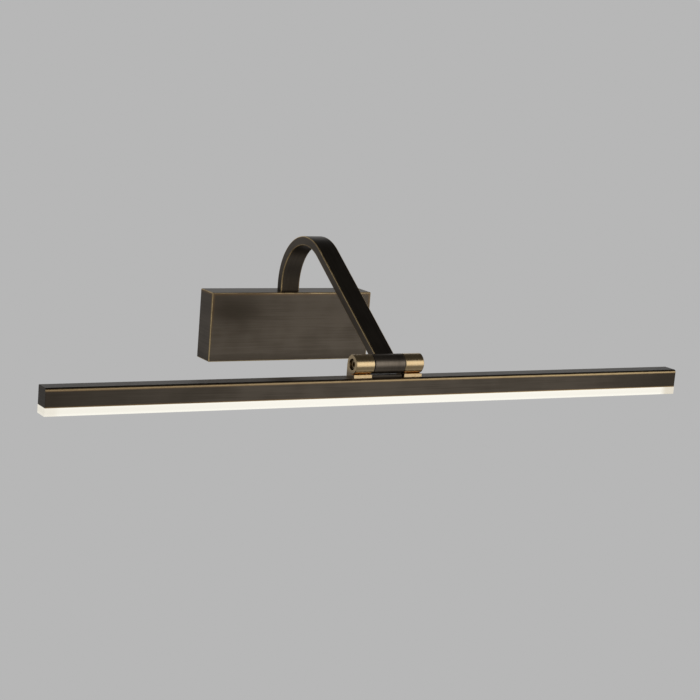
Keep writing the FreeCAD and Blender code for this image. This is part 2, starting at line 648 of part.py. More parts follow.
def led_chips():
    length, width, height = LED_SIZE
    chips = []
    for pair in range(LED_PAIRS):
        for side in (-1, 1):
            x = side * (pair + 0.5) * LED_PITCH
            chips.append(bar_block((x - length / 2, x + length / 2), (-width / 2, width / 2),
                                   (BOARD_BOTTOM - height, BOARD_BOTTOM)))
    return Part.makeCompound(chips)


def board_screws():
    length = LED_BOARD_T + TRAY_WEB + SPACER_THREAD
    return Part.makeCompound([screw(Vector(x, AXIS.y, MOUTH_Z + BOARD_BOTTOM), Vector(0, 0, 1), M3, length)
                              for x in SPACER_XS])


def lug_screws():
    top = MOUTH_Z + CHANNEL_INSIDE_TOP
    return Part.makeCompound([screw(Vector(x, AXIS.y, top), Vector(0, 0, 1), M4, CHANNEL_WALL + LUG_SCREW_UP)
                              for x in LUG_SCREW_XS])


def lug_pins():
    return Part.makeCompound([rod(Vector(x, AXIS.y, BAR_TOP - CHANNEL_WALL), Vector(x, AXIS.y, BAR_TOP + LUG_PIN_UP),
                                  LUG_PIN_D) for x in LUG_PIN_XS])


def saddle_screws():
    top = MOUTH_Z + CHANNEL_INSIDE_TOP
    length = CHANNEL_WALL + FOOT_HEIGHT - FREE - 1
    return Part.makeCompound([screw(Vector(x, AXIS.y, top), Vector(0, 0, 1), M25, length)
                              for x in (-SADDLE_SCREW_X, SADDLE_SCREW_X)])


def diffuser():
    out = BAR_DEPTH / 2
    leg_out = TRAY_IN - HOOK_LIP - 0.1
    leg_in = leg_out - DIFFUSER_LEG
    barb_low = HOOK_UP + HOOK_H + 0.1
    cut_in = out - DIFFUSER_WALL
    floor = DIFFUSER_WALL - DIFFUSER_HEIGHT
    half = [(-leg_in, -DIFFUSER_WALL), (-cut_in, -DIFFUSER_WALL), (-cut_in, floor), (0, floor)]
    room = bar_outline([(-leg_in, DIFFUSER_LEG_H + 1)] + half + [(-u, v) for u, v in reversed(half[:-1])]
                       + [(leg_in, DIFFUSER_LEG_H + 1)], -BAR_LENGTH, BAR_LENGTH)
    end = BAR_LENGTH / 2 - DIFFUSER_WALL
    body = bar_block((-end, end), (-out, out), (-DIFFUSER_HEIGHT, 0))
    low = edges_along(body, Vector(1, 0, 0), lambda p: p.z < MOUTH_Z - DIFFUSER_HEIGHT + 0.1)
    body = body.makeFillet(min(DIFFUSER_EDGE_R, 0.8 * DIFFUSER_WALL), low)
    leg_end = CAP_X - 0.5
    legs = bar_block((-leg_end, leg_end), (-leg_out, leg_out), (0, DIFFUSER_LEG_H))
    barbs = bar_outline([(-leg_out - BARB, barb_low), (leg_out + BARB, barb_low), (leg_out, DIFFUSER_LEG_H),
                         (-leg_out, DIFFUSER_LEG_H)], -leg_end, leg_end)
    return body.fuse(legs).fuse(barbs).removeSplitter().cut(room)


def diffuser_end(side):
    out = BAR_DEPTH / 2
    x0 = side * (BAR_LENGTH / 2 - DIFFUSER_WALL)
    x1 = side * BAR_LENGTH / 2
    plate = bar_block((x0, x1), (-out, out), (-DIFFUSER_HEIGHT, 0))
    low = edges_along(plate, Vector(1, 0, 0), lambda p: p.z < MOUTH_Z - DIFFUSER_HEIGHT + 0.1)
    plate = plate.makeFillet(min(DIFFUSER_EDGE_R, 0.8 * DIFFUSER_WALL), low)
    stub = out - DIFFUSER_WALL - TOUCH
    plug = bar_block((x0, x0 - side * END_STUB), (-stub, stub),
                     (DIFFUSER_WALL - DIFFUSER_HEIGHT + TOUCH, -DIFFUSER_WALL - TOUCH))
    return plate.fuse(plug).removeSplitter()


def bar_cable():
    end_x = CONNECTOR_X - CONNECTOR[0] / 2
    run_z = MOUTH_Z + CABLE_RUN_V
    points = [AXIS + Vector(CABLE_SPLIT_X, 0, 0), AXIS + Vector(CABLE_DROP_X, 0, 0),
              Vector(CABLE_DROP_X, AXIS.y, run_z), Vector(end_x, AXIS.y, run_z)]
    return tube_along(points, [CABLE_TIGHT_R, CABLE_D], CABLE_D)


def bar_grommet():
    top = BAR_TOP
    low = top - CHANNEL_WALL
    below = Vector(CABLE_DROP_X, AXIS.y, low)
    above = Vector(CABLE_DROP_X, AXIS.y, top)
    past = Vector(0, 0, 1)
    ring = rod(below, above, CABLE_D + 2 * GROMMET_WALL - TOUCH)
    return ring.cut(rod(below - past, above + past, CABLE_D + 2 * LOOSE))


def bar_connector():
    length, width, height = CONNECTOR
    return bar_block((CONNECTOR_X - length / 2, CONNECTOR_X + length / 2), (-width / 2, width / 2),
                     (WEB_TOP, WEB_TOP + height))


# ---- driver and wiring in the box ----
def driver_span():
    half_l = DRIVER_LENGTH / 2
    half_h = DRIVER_HEIGHT / 2
    return (DRIVER_X - half_l, DRIVER_X + half_l), (DRIVER_Z - half_h, DRIVER_Z + half_h)


def shrunk(span, by):
    return (span[0] + by, span[1] - by)


def driver_base():
    x, z = driver_span()
    back = -BRACKET_T
    front = back - DRIVER_BASE_T
    body = block(x, (back, front), z)
    body = body.cut(block(shrunk(x, DRIVER_WALL), (back - DRIVER_WALL, front - 1), shrunk(z, DRIVER_WALL)))
    ear_z = (DRIVER_Z - EAR_WIDTH / 2, DRIVER_Z + EAR_WIDTH / 2)
    body = body.fuse(block((x[0] - EAR_LENGTH, x[0]), (back, back - EAR_T), ear_z))
    body = body.fuse(block((x[1], x[1] + EAR_LENGTH), (back, back - EAR_T), ear_z))
    for ear_x in (x[0] - EAR_LENGTH / 2, x[1] + EAR_LENGTH / 2):
        body = body.cut(pin_y(ear_x, DRIVER_Z, back + 1, back - EAR_T - 1, M3[0] + 2 * LOOSE))
    for wire_z in (POLE_Z, POLE_Z + POLE_PITCH):
        body = body.cut(rod(Vector(x[0] - 1, -WIRE_Y, wire_z), Vector(x[0] + DRIVER_WALL + 1, -WIRE_Y, wire_z),
                            WIRE_D + 2 * LOOSE))
    inlet = rod(Vector(x[1] - DRIVER_WALL - 1, ARM_Y, DRIVER_Z), Vector(x[1] + 1, ARM_Y, DRIVER_Z),
                CABLE_D + 2 * LOOSE)
    return body.cut(inlet).removeSplitter()


def driver_lid():
    x, z = driver_span()
    back = -BRACKET_T - DRIVER_BASE_T
    plate = block(x, (back, back - DRIVER_LID_T), z)
    plate = plate.makeFillet(DRIVER_LID_R, [edge for edge in plate.Edges if edge.CenterOfMass.y < back - 0.1])
    lip = DRIVER_WALL + LOOSE
    return plate.cut(block(shrunk(x, lip + 1), (back + 1, back - 1), shrunk(z, lip + 1)))


def driver_board():
    x, z = driver_span()
    back = -BRACKET_T - DRIVER_WALL - DRIVER_BOARD_UP
    return block(shrunk(x, DRIVER_BOARD_GAP), (back, back - BOARD_T), shrunk(z, DRIVER_BOARD_GAP))


def driver_parts():
    """Transformer, two capacitors and the output choke on the driver's board."""
    face = -BRACKET_T - DRIVER_WALL - DRIVER_BOARD_UP - BOARD_T
    half_l = CORE[0] / 2
    half_h = CORE[1] / 2
    core = block((DRIVER_X - half_l, DRIVER_X + half_l), (face, face - CORE[2]),
                 (DRIVER_Z - half_h, DRIVER_Z + half_h))
    cans = [pin_y(DRIVER_X + at, DRIVER_Z + up, face, face - thick, wide) for at, up, thick, wide in CANS]
    return Part.makeCompound([core] + cans)


def driver_screws():
    ears = plate_screws()[:2]
    length = EAR_T + BRACKET_T - 0.2
    return Part.makeCompound([screw(Vector(x, -BRACKET_T - EAR_T, z), Vector(0, 1, 0), size, length)
                              for x, z, size in ears])


def pole_heights():
    return [POLE_Z + POLE_PITCH * i for i in (-1, 0, 1)]


def terminal_block():
    x = (BLOCK_X - BLOCK_WIDTH / 2, BLOCK_X + BLOCK_WIDTH / 2)
    front = -BRACKET_T - BLOCK_T
    z = (POLE_Z - 1.5 * POLE_PITCH, POLE_Z + 1.5 * POLE_PITCH)
    body = block(x, (-BRACKET_T, front), z)
    for pole in pole_heights():
        body = body.cut(rod(Vector(x[0] - 1, -WIRE_Y, pole), Vector(x[1] + 1, -WIRE_Y, pole), WIRE_HOLE_D))
        for side in (-1, 1):
            body = body.cut(pin_y(BLOCK_X + side * BLOCK_WIDTH / 4, pole, front - 1, -WIRE_Y, TERMINAL_HOLE_D))
    fixing = plate_screws()[2]
    body = body.cut(pin_y(fixing[0], fixing[1], 0, front - 1, M3[0] + 2 * LOOSE))
    return body.cut(pin_y(fixing[0], fixing[1], front - 1, front + TERMINAL_SINK, M3[1] + 2 * LOOSE))


def terminal_screws():
    bottom = -WIRE_Y - WIRE_HOLE_D / 2 - 0.2
    screws = []
    for pole in pole_heights():
        for side in (-1, 1):
            place = Vector(BLOCK_X + side * BLOCK_WIDTH / 4, bottom, pole)
            screws.append(screw(place, Vector(0, 1, 0), TERMINAL_M, 0.1))
    return Part.makeCompound(screws)


def terminal_fixing():
    x, z, size = plate_screws()[2]
    seat = -BRACKET_T - BLOCK_T + TERMINAL_SINK
    return screw(Vector(x, seat, z), Vector(0, 1, 0), size, -seat - 0.2)


def earth_screw():
    x, z, size = plate_screws()[3]
    return screw(Vector(x, -BRACKET_T - RING_T, z), Vector(0, 1, 0), size, BRACKET_T + RING_T - 0.2)


def earth_ring():
    x, z, size = plate_screws()[3]
    ring = pin_y(x, z, -BRACKET_T, -BRACKET_T - RING_T, size[1] + 1)
    ring = ring.fuse(block((x - RING_TAIL, x), (-BRACKET_T, -BRACKET_T - RING_T),
                           (z - RING_TAIL_WIDTH / 2, z + RING_TAIL_WIDTH / 2)))
    return ring.cut(pin_y(x, z, 0, -BRACKET_T - RING_T - 1, size[0] + 2 * LOOSE)).removeSplitter()


def earth_lead():
    start_x = BLOCK_X + BLOCK_WIDTH / 2 - 2
    pole = pole_heights()[0]
    low_y = -BRACKET_T - RING_T - WIRE_D / 2
    bend_x = start_x + EARTH_BEND
    points = [Vector(start_x, -WIRE_Y, pole), Vector(bend_x, -WIRE_Y, pole),
              Vector(bend_x, low_y, EARTH_Z), Vector(EARTH_X - 5, low_y, EARTH_Z)]
    return tube_along(points, [EARTH_BEND_R, EARTH_TURN_R], WIRE_D)


def mains_leads():
    start = BLOCK_X + BLOCK_WIDTH / 2 - 2
    end = DRIVER_X - DRIVER_LENGTH / 2 + DRIVER_WALL + 1
    return Part.makeCompound([rod(Vector(start, -WIRE_Y, z), Vector(end, -WIRE_Y, z), WIRE_D)
                              for z in pole_heights()[1:]])


PIECES = {
    "wall_bracket": wall_bracket(),
    "wall_cover": cover(),
    "cover_hooks": cover_hooks(),
    "cover_screws": cover_screws(),
    "entry_grommet": cable_grommet(),
    "driver_base": driver_base(),
    "driver_lid": driver_lid(),
    "driver_board": driver_board(),
    "driver_parts": driver_parts(),
    "driver_screws": driver_screws(),
    "terminal_block": terminal_block(),
    "terminal_screws": terminal_screws(),
    "terminal_fixing": terminal_fixing(),
    "earth_screw": earth_screw(),
    "earth_ring": earth_ring(),
    "earth_lead": earth_lead(),
    "mains_leads": mains_leads(),
    "arm_flange": arm_flange(),
    "flange_studs": flange_studs(),
    "flange_nuts": flange_nuts(),
    "arm": arm(),
    "arm_cable": arm_cable(),
    "barrel": barrel(),
    "hollow_pivot": hollow_pivot(),
    "pivot_nut": pivot_nut(),
    "wave_washer": washer(BEARING_X, PIVOT_NUT_X, PIVOT_D + 2 * LOOSE, LUG_CAVITY_D - 2 * FREE),
    "friction_washer_left": washer(-LUG_IN, -BARREL_LENGTH / 2, M5_SOCKET[0] + 2 * FREE, BARREL_D - 2 * LUG_CHAMFER),
    "friction_washer_right": washer(BARREL_LENGTH / 2, LUG_IN, PIVOT_D + 2 * TOUCH, BARREL_D - 2 * LUG_CHAMFER),
    "pivot_screw": pivot_screw(),
    "disc_spring": washer(-LUG_SHELF - DISC_T, -LUG_SHELF, M5_SOCKET[0] + FREE, COUNTERBORE_D - 2 * LOOSE),
    "lug_left": lug_left(),
    "lug_right": lug_right(),
    "lug_plug": lug_plug(),
    "lug_screws": lug_screws(),
    "lug_pins": lug_pins(),
    "saddle": saddle(),
    "saddle_screws": saddle_screws(),
    "bar_channel": channel(),
    "end_cap_left": end_cap(-1),
    "end_cap_right": end_cap(1),
    "led_tray": led_tray(),
    "tray_spacers": tray_spacers(),
    "led_board": led_board(),
    "led_chips": led_chips(),
    "board_screws": board_screws(),
    "diffuser": diffuser(),
    "diffuser_end_left": diffuser_end(-1),
    "diffuser_end_right": diffuser_end(1),
    "bar_cable": bar_cable(),
    "bar_grommet": bar_grommet(),
    "bar_connector": bar_connector(),
}

os.makedirs("parts", exist_ok=True)
for name, shape in PIECES.items():
    shape.exportStep("parts/" + name + ".step")
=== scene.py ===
"""Looks of a wall-mounted picture light: worn bronze box, arm and light bar, brass hinge, lit opal strip."""
import json
import math

import bmesh
import bpy
from mathutils import Matrix, Vector

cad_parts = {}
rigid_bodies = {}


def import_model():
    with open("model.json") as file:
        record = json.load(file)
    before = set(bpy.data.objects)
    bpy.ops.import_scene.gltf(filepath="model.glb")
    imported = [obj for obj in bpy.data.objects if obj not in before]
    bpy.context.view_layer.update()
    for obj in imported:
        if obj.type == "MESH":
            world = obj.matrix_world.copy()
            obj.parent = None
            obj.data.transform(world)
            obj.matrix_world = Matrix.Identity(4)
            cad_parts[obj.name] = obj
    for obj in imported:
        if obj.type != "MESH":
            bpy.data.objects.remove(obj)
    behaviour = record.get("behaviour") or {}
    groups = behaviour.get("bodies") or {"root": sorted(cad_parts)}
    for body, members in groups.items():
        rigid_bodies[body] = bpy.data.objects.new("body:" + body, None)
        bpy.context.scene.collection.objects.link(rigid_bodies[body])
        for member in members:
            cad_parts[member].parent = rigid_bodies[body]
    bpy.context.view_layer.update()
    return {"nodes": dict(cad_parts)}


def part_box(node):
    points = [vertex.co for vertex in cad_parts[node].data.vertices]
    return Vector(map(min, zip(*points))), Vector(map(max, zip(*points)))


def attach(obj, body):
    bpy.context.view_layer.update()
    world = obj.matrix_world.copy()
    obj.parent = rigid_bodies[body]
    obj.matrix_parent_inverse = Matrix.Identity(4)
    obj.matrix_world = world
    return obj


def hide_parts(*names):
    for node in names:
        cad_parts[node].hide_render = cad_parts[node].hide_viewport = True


for leftover in list(bpy.data.objects):
    bpy.data.objects.remove(leftover)
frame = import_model()

MM = 0.001
WALL = "wall_unit"
BAR = "light_bar"
SCREW = "pivot_screw"

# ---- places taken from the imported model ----
box_low, box_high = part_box("wall_cover")
bar_low, bar_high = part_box("bar_channel")
glow_low, glow_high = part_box("diffuser_end_left")[0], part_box("diffuser_end_right")[1]
barrel_low, barrel_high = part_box("barrel")
lug_low, lug_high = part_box("lug_left")
plug_low, plug_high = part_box("lug_plug")
screw_low, screw_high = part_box("pivot_screw")
saddle_low, saddle_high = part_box("saddle")
flange_low, flange_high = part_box("arm_flange")
cover_screw_low, cover_screw_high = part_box("cover_screws")
arm_low, arm_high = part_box("arm")
HINGE = Vector((0, (barrel_low.y + barrel_high.y) / 2, (barrel_low.z + barrel_high.z) / 2))
HINGE_R = (barrel_high.z - barrel_low.z) / 2
ARM_HALF_T = 4.1 * MM
ARM_WALL = 1.2 * MM
ARM_Y = (flange_low.y + flange_high.y) / 2
BEND_R = 45.8 * MM
LUG_BORE_R = 2.55 * MM
BARREL_BORE_R = 5.5 * MM
COUNTERBORE_R = 4.7 * MM
COUNTERBORE_DEPTH = 7.6 * MM
FOOT_FRONT = 5.3 * MM
FOOT_INSET = 0.8 * MM
WEB_FRONT = 1.0 * MM
FRONT_R = 2.2 * MM
BACK_R = 0.8 * MM
SHEET = 1.2 * MM
COVER_HOLE_R = 1.65 * MM
COVER_HOLE_SIDE = 55 * MM
COVER_HOLE_Y = -8 * MM
COVER_SHANK_R = 1.5 * MM
ARM_RISE = 6.2 * MM
ARM_END = 7.0 * MM
RIGHT_BORE_R = 4.05 * MM
PLUG_SEAT = 4.6 * MM
TONGUE_SIDE = 2.4 * MM
TONGUE_LOW = 5.9 * MM
TONGUE_TOP = 1.4 * MM
PIVOT_HEAD = 5.0 * MM
PIVOT_SHANK_R = 2.5 * MM
KEY_HALF = 2.0 * MM
KEY_DEPTH = 2.8 * MM


# ---- mesh helpers ----
def evaluated_mesh(obj):
    return bpy.data.meshes.new_from_object(obj.evaluated_get(bpy.context.evaluated_depsgraph_get()))


def temporary(bm, name="shape"):
    mesh = bpy.data.meshes.new(name)
    bmesh.ops.recalc_face_normals(bm, faces=bm.faces)
    bm.to_mesh(mesh)
    bm.free()
    obj = bpy.data.objects.new(name, mesh)
    bpy.context.scene.collection.objects.link(obj)
    return obj


def rounded_block(low, high, radius=0.0, keep=lambda middle: True, segments=4):
    """Block whose edges that pass the test are rounded."""
    bm = bmesh.new()
    bmesh.ops.create_cube(bm, size=1)
    size = Vector(high) - Vector(low)
    for vert in bm.verts:
        vert.co = Vector((vert.co.x * size.x, vert.co.y * size.y, vert.co.z * size.z)) + (
            Vector(low) + Vector(high)) / 2
    if radius:
        edges = [edge for edge in bm.edges if keep((edge.verts[0].co + edge.verts[1].co) / 2)]
        bmesh.ops.bevel(bm, geom=edges, offset=radius, segments=segments, profile=0.5, affect="EDGES")
    return bm


def turned(outline, centre=HINGE, along=Vector((1, 0, 0)), steps=128):
    """Piece turned about a line from a closed outline of (distance along, radius) points."""
    side = Vector((0, 0, 1)) if abs(along.z) < 0.5 else Vector((1, 0, 0))
    other = along.cross(side)
    bm = bmesh.new()
    rings = []
    for step in range(steps):
        angle = 2 * math.pi * step / steps
        out = side * math.cos(angle) + other * math.sin(angle)
        rings.append([bm.verts.new(centre + along * a + out * r) for a, r in outline])
    count = len(outline)
    for ring, following in zip(rings, rings[1:] + rings[:1]):
        for i in range(count):
            bm.faces.new((ring[i], ring[(i + 1) % count], following[(i + 1) % count], following[i]))
    bmesh.ops.remove_doubles(bm, verts=bm.verts, dist=1e-7)
    bmesh.ops.dissolve_degenerate(bm, edges=bm.edges, dist=1e-8)
    return bm


def arc(cx, cy, radius, start, end, steps=4):
    """Points on a corner arc, angles in degrees."""
    return [(cx + radius * math.cos(math.radians(start + (end - start) * i / steps)),
             cy + radius * math.sin(math.radians(start + (end - start) * i / steps)))
            for i in range(steps + 1)]


def extruded(outline, x0, x1):
    """Bar along X from a closed outline of (y, z) points."""
    bm = bmesh.new()
    near = [bm.verts.new((x0, y, z)) for y, z in outline]
    far = [bm.verts.new((x1, y, z)) for y, z in outline]
    bm.faces.new(near)
    bm.faces.new(list(reversed(far)))
    for i in range(len(outline)):
        j = (i + 1) % len(outline)
        bm.faces.new((near[j], near[i], far[i], far[j]))
    return bm


def combined(bm, add=(), cut=()):
    """One closed mesh: a body with pieces joined on and pieces cut out."""
    body = temporary(bm)
    tools = []
    for operation, shapes in (("UNION", add), ("DIFFERENCE", cut)):
        for shape in shapes:
            tool = temporary(shape)
            tools.append(tool)
            step = body.modifiers.new(operation, "BOOLEAN")
            step.operation = operation
            step.solver = "EXACT"
            step.object = tool
    mesh = evaluated_mesh(body)
    for obj in [body] + tools:
        bpy.data.objects.remove(obj)
    return mesh


def finish_piece(name, shape, body, slot, material, *nodes, corner=35):
    """Turn a shape into a finished piece: soft shading with crisp corners, its ride and material. The slot is
    not used.
    """
    if isinstance(shape, bmesh.types.BMesh):
        shape = combined(shape)
    obj = bpy.data.objects.new(name, shape)
    bpy.context.scene.collection.objects.link(obj)
    shape.materials.clear()
    shape.materials.append(material)
    for face in shape.polygons:
        face.material_index = 0
        face.use_smooth = True
    shape.set_sharp_from_angle(angle=math.radians(corner))
    even = obj.modifiers.new("even", "WEIGHTED_NORMAL")
    even.keep_sharp = True
    even.weight = 100
    smooth = evaluated_mesh(obj)
    obj.modifiers.clear()
    obj.data = smooth
    smooth.name = name
    bpy.data.meshes.remove(shape)
    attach(obj, body)
    if nodes:
        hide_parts(*nodes)
    return obj


# ---- finishes ----
class Finish:
    """Lays out the nodes of one material."""

    def __init__(self, name, **sockets):
        self.material = bpy.data.materials.new(name)
        self.material.use_nodes = True
        self.tree = self.material.node_tree
        self.surface = self.tree.nodes["Principled BSDF"]
        for socket, value in sockets.items():
            self.surface.inputs[socket.replace("_", " ")].default_value = value
        self.place = self.node("ShaderNodeTexCoord", out="Object")

    def node(self, kind, *inputs, out=0, **settings):
        made = self.tree.nodes.new(kind)
        for key, value in settings.items():
            setattr(made, key, value)
        for socket, value in zip(made.inputs, inputs):
            self.feed(socket, value)
        return made.outputs[out]

    def feed(self, socket, value):
        if isinstance(value, bpy.types.NodeSocket):
            self.tree.links.new(value, socket)
        elif value is not None:
            socket.default_value = value

    def math(self, operation, a, b=None, clamp=False):
        return self.node("ShaderNodeMath", a, b, operation=operation, use_clamp=clamp)

    def scaled(self, vector, by):
        return self.node("ShaderNodeVectorMath", vector, by, operation="MULTIPLY")

    def noise(self, vector, scale=1.0, detail=3.0, rough=0.55):
        made = self.tree.nodes.new("ShaderNodeTexNoise")
        self.feed(made.inputs["Vector"], vector)
        made.inputs["Scale"].default_value = scale
        made.inputs["Detail"].default_value = detail
        made.inputs["Roughness"].default_value = rough
        return made.outputs["Fac"]

    def between(self, value, low, high, to_low=0.0, to_high=1.0):
        """Smooth step from one value to another."""
        made = self.tree.nodes.new("ShaderNodeMapRange")
        made.interpolation_type = "SMOOTHSTEP"
        for index, item in enumerate((value, low, high, to_low, to_high)):
            self.feed(made.inputs[index], item)
        return made.outputs[0]

    def mix(self, amount, first, second):
        made = self.tree.nodes.new("ShaderNodeMix")
        made.data_type = "RGBA"
        self.feed(made.inputs[0], amount)
        self.feed(made.inputs[6], first)
        self.feed(made.inputs[7], second)
        return made.outputs[2]

    def parts(self, vector):
        made = self.tree.nodes.new("ShaderNodeSeparateXYZ")
        self.feed(made.inputs[0], vector)
        return made.outputs[0], made.outputs[1], made.outputs[2]

    def colour(self, value):
        self.feed(self.surface.inputs["Base Color"], value)

    def roughness(self, value):
        self.feed(self.surface.inputs["Roughness"], value)

    def bump(self, height, depth, strength=1.0):
        made = self.tree.nodes.new("ShaderNodeBump")
        made.inputs["Strength"].default_value = strength
        made.inputs["Distance"].default_value = depth
        self.feed(made.inputs["Height"], height)
        self.feed(self.surface.inputs["Normal"], made.outputs[0])


PATINA_DARK = (0.085, 0.069, 0.052, 1)
PATINA_LIGHT = (0.170, 0.142, 0.112, 1)
PATINA_BROWN = (0.27, 0.175, 0.095, 1)
# Deepest dark: painted shade near the bar's ends, and darker where the arm leaves the box.
DEEPEST_DARK = (0.022, 0.015, 0.009, 1)
# Brown of the painted shade in the lugs' counterbore and low on their end faces.
BORE_SHADE_BROWN = (0.075, 0.042, 0.018, 1)
RUBBED_BRASS = (0.80, 0.60, 0.31, 1)


def second_smallest(finish, a, b, c):
    low = finish.math("MINIMUM", a, b)
    high = finish.math("MAXIMUM", a, b)
    return finish.math("MAXIMUM", low, finish.math("MINIMUM", high, c))


def box_edge(finish, low, high, back=True):
    """Distance to the nearest edge of a block, on its surface."""
    middle = (low + high) / 2
    half = (high - low) / 2
    x, y, z = finish.parts(finish.node("ShaderNodeVectorMath", finish.place, tuple(middle),
                                       operation="SUBTRACT"))
    dx = finish.math("SUBTRACT", half.x, finish.math("ABSOLUTE", x))
    dz = finish.math("SUBTRACT", half.z, finish.math("ABSOLUTE", z))
    dy = (finish.math("SUBTRACT", half.y, finish.math("ABSOLUTE", y)) if back
          else finish.math("ADD", half.y, y))
    return second_smallest(finish, dx, dy, dz)


def worn_bronze(name, edge, grain, rub, halo, darkening=None, tone=1.0, gloom=None, stain=None,
                shine=None):
    """Dark brushed patina over brass: cloudy, streaked along the grain, rubbed through at the edges.

    edge, grain, darkening, gloom, stain and shine build their sockets from the finish; rub and halo are
    widths in metres. darkening thins the light patina and gloom darkens it; on the bar both are painted shade
    towards its ends. stain weighs the brown beside the edges and shine how bare the rubbed metal is.
    """
    finish = Finish(name, Metallic=1.0)
    along = grain(finish)
    fine = finish.noise(along, 1.0, 2.0)
    broad = finish.noise(along, 0.23, 3.0)
    drift = finish.noise(finish.place, 26.0, 2.0)
    shade = finish.math("ADD", finish.math("MULTIPLY", broad, 0.42), finish.math("MULTIPLY", drift, 0.58))
    shade = finish.between(shade, 0.30, 0.62)
    streaks = finish.math("ADD", finish.math("MULTIPLY", fine, 0.42), 0.065)
    shade = finish.math("ADD", finish.math("MULTIPLY", shade, 0.62), streaks, clamp=True)
    # On the bar this darkening is painted shade towards its ends; on the box it gives darker patches.
    if darkening:
        shade = finish.math("MULTIPLY", shade, darkening(finish))
    dark = tuple(c * tone for c in PATINA_DARK[:3]) + (1,)
    light = tuple(c * tone for c in PATINA_LIGHT[:3]) + (1,)
    patina = finish.mix(shade, dark, light)
    # On the bar this deeper dark is painted shade near its ends; on the arm it darkens the root.
    if gloom:
        patina = finish.mix(gloom(finish), patina, DEEPEST_DARK)
    distance = edge(finish)
    ragged = finish.noise(finish.place, 140.0, 3.0)
    sweep = finish.noise(finish.place, 11.0, 1.0)
    reach = finish.math("MULTIPLY", finish.math("ADD", finish.math("MULTIPLY", ragged, 0.9),
                                                finish.math("MULTIPLY", sweep, 0.7)), rub)
    brown = finish.between(distance, halo, 0.25 * halo)
    rubbed = finish.between(finish.math("SUBTRACT", distance, reach), 0.35 * rub, -0.15 * rub)
    if shine:
        rubbed = finish.math("MULTIPLY", rubbed, shine(finish))
    brown = finish.math("MULTIPLY", brown, stain(finish) if stain else 0.75)
    stained = finish.mix(brown, patina, PATINA_BROWN)
    finish.colour(finish.mix(rubbed, stained, RUBBED_BRASS))
    satin = finish.between(fine, 0.2, 0.8, 0.30, 0.42)
    finish.roughness(finish.math("SUBTRACT", satin, finish.math("MULTIPLY", rubbed, 0.08)))
    finish.bump(fine, 0.012 * MM, 0.6)
    return finish.material


def long_grain(finish, length=14.0, width=0.28):
    """Brushing along X on the long faces, along Y on the ends: few changes along it, many across."""
    facing = finish.node("ShaderNodeTexCoord", out="Normal")
    nx = finish.math("ABSOLUTE", finish.parts(facing)[0])
    on_end = finish.math("GREATER_THAN", nx, 0.7)
    few, many = 1 / (length * MM), 1 / (width * MM)
    along_x = finish.scaled(finish.place, (few, many, many))
    along_y = finish.scaled(finish.place, (few, few, many))
    made = finish.tree.nodes.new("ShaderNodeMix")
    made.data_type = "VECTOR"
    finish.feed(made.inputs[0], on_end)
    finish.feed(made.inputs[4], along_x)
    finish.feed(made.inputs[5], along_y)
    return made.outputs[1]


def arm_grain(finish):
    """Brushing along the bent arm."""
    along = finish.node("ShaderNodeAttribute", attribute_name="along", out="Fac")
    x, y, z = finish.parts(finish.node("ShaderNodeAttribute", attribute_name="across", out="Vector"))
    return finish.node("ShaderNodeCombineXYZ", finish.math("MULTIPLY", along, 1 / (14 * MM)),
                       finish.math("MULTIPLY", x, 1 / (0.28 * MM)),
                       finish.math("MULTIPLY", y, 1 / (0.28 * MM)))


def arm_edge(finish):
    x, y, z = finish.parts(finish.node("ShaderNodeAttribute", attribute_name="across", out="Vector"))
    to_side = finish.math("SUBTRACT", arm_high.x, finish.math("ABSOLUTE", x))
    to_face = finish.math("SUBTRACT", ARM_HALF_T, finish.math("ABSOLUTE", y))
    return finish.math("MAXIMUM", to_side, to_face)


def dark_patch(finish):
    """Darker patch near the box's upper left corner, darker towards its bottom edge and towards its top."""
    middle = Vector((box_low.x + 21 * MM, box_low.y, 15 * MM))
    away = finish.node("ShaderNodeVectorMath", finish.place, tuple(middle), operation="SUBTRACT")
    away = finish.scaled(away, (1 / (32 * MM), 1 / (40 * MM), 1 / (13 * MM)))
    far = finish.node("ShaderNodeVectorMath", away, operation="LENGTH", out="Value")
    z = finish.parts(finish.place)[2]
    rows = finish.math("MULTIPLY", finish.between(z, box_low.z + 1 * MM, box_low.z + 10 * MM, 0.30, 1.0),
                       finish.between(z, 6 * MM, 24 * MM, 1.0, 0.72))
    return finish.math("MULTIPLY", finish.between(far, 0.15, 1.25, 0.30, 1.0), rows)


# The brown beside the edges, strongest at the top and fading out towards the bottom of the box.
def upper_edge_brown(finish):
    return finish.between(finish.parts(finish.place)[2], box_low.z + 6 * MM, box_high.z, 0.0, 0.75)


def arm_root(finish):
    """Darker where the arm leaves the box."""
    along = finish.node("ShaderNodeAttribute", attribute_name="along", out="Fac")
    return finish.between(along, 24 * MM, 9 * MM, 0.0, 0.72)


def bar_edge(finish):
    """Distance to the bar's long edges; the rounded front one counts from its curve."""
    x, y, z = finish.parts(finish.place)
    down = finish.math("SUBTRACT", bar_high.z, z)
    up = finish.math("SUBTRACT", z, bar_low.z)
    front = finish.math("SUBTRACT", y, bar_low.y)
    behind = finish.math("SUBTRACT", bar_high.y, y)
    front_top = finish.math("MAXIMUM", finish.math("ADD", front, 0.26 * MM),
                            finish.math("SUBTRACT", down, 0.90 * FRONT_R))
    back_top = finish.math("MAXIMUM", behind, down)
    lower = finish.math("MAXIMUM", finish.math("MINIMUM", front, behind), up)
    return finish.math("MINIMUM", finish.math("MINIMUM", front_top, back_top), lower)


def bar_end_falloff_shade(finish):
    """Painted shade: darker towards both ends of the bar, where the key light falls off."""
    x = finish.math("ABSOLUTE", finish.parts(finish.place)[0])
    return finish.between(x, 0.35 * bar_high.x, bar_high.x, 1.0, 0.45)


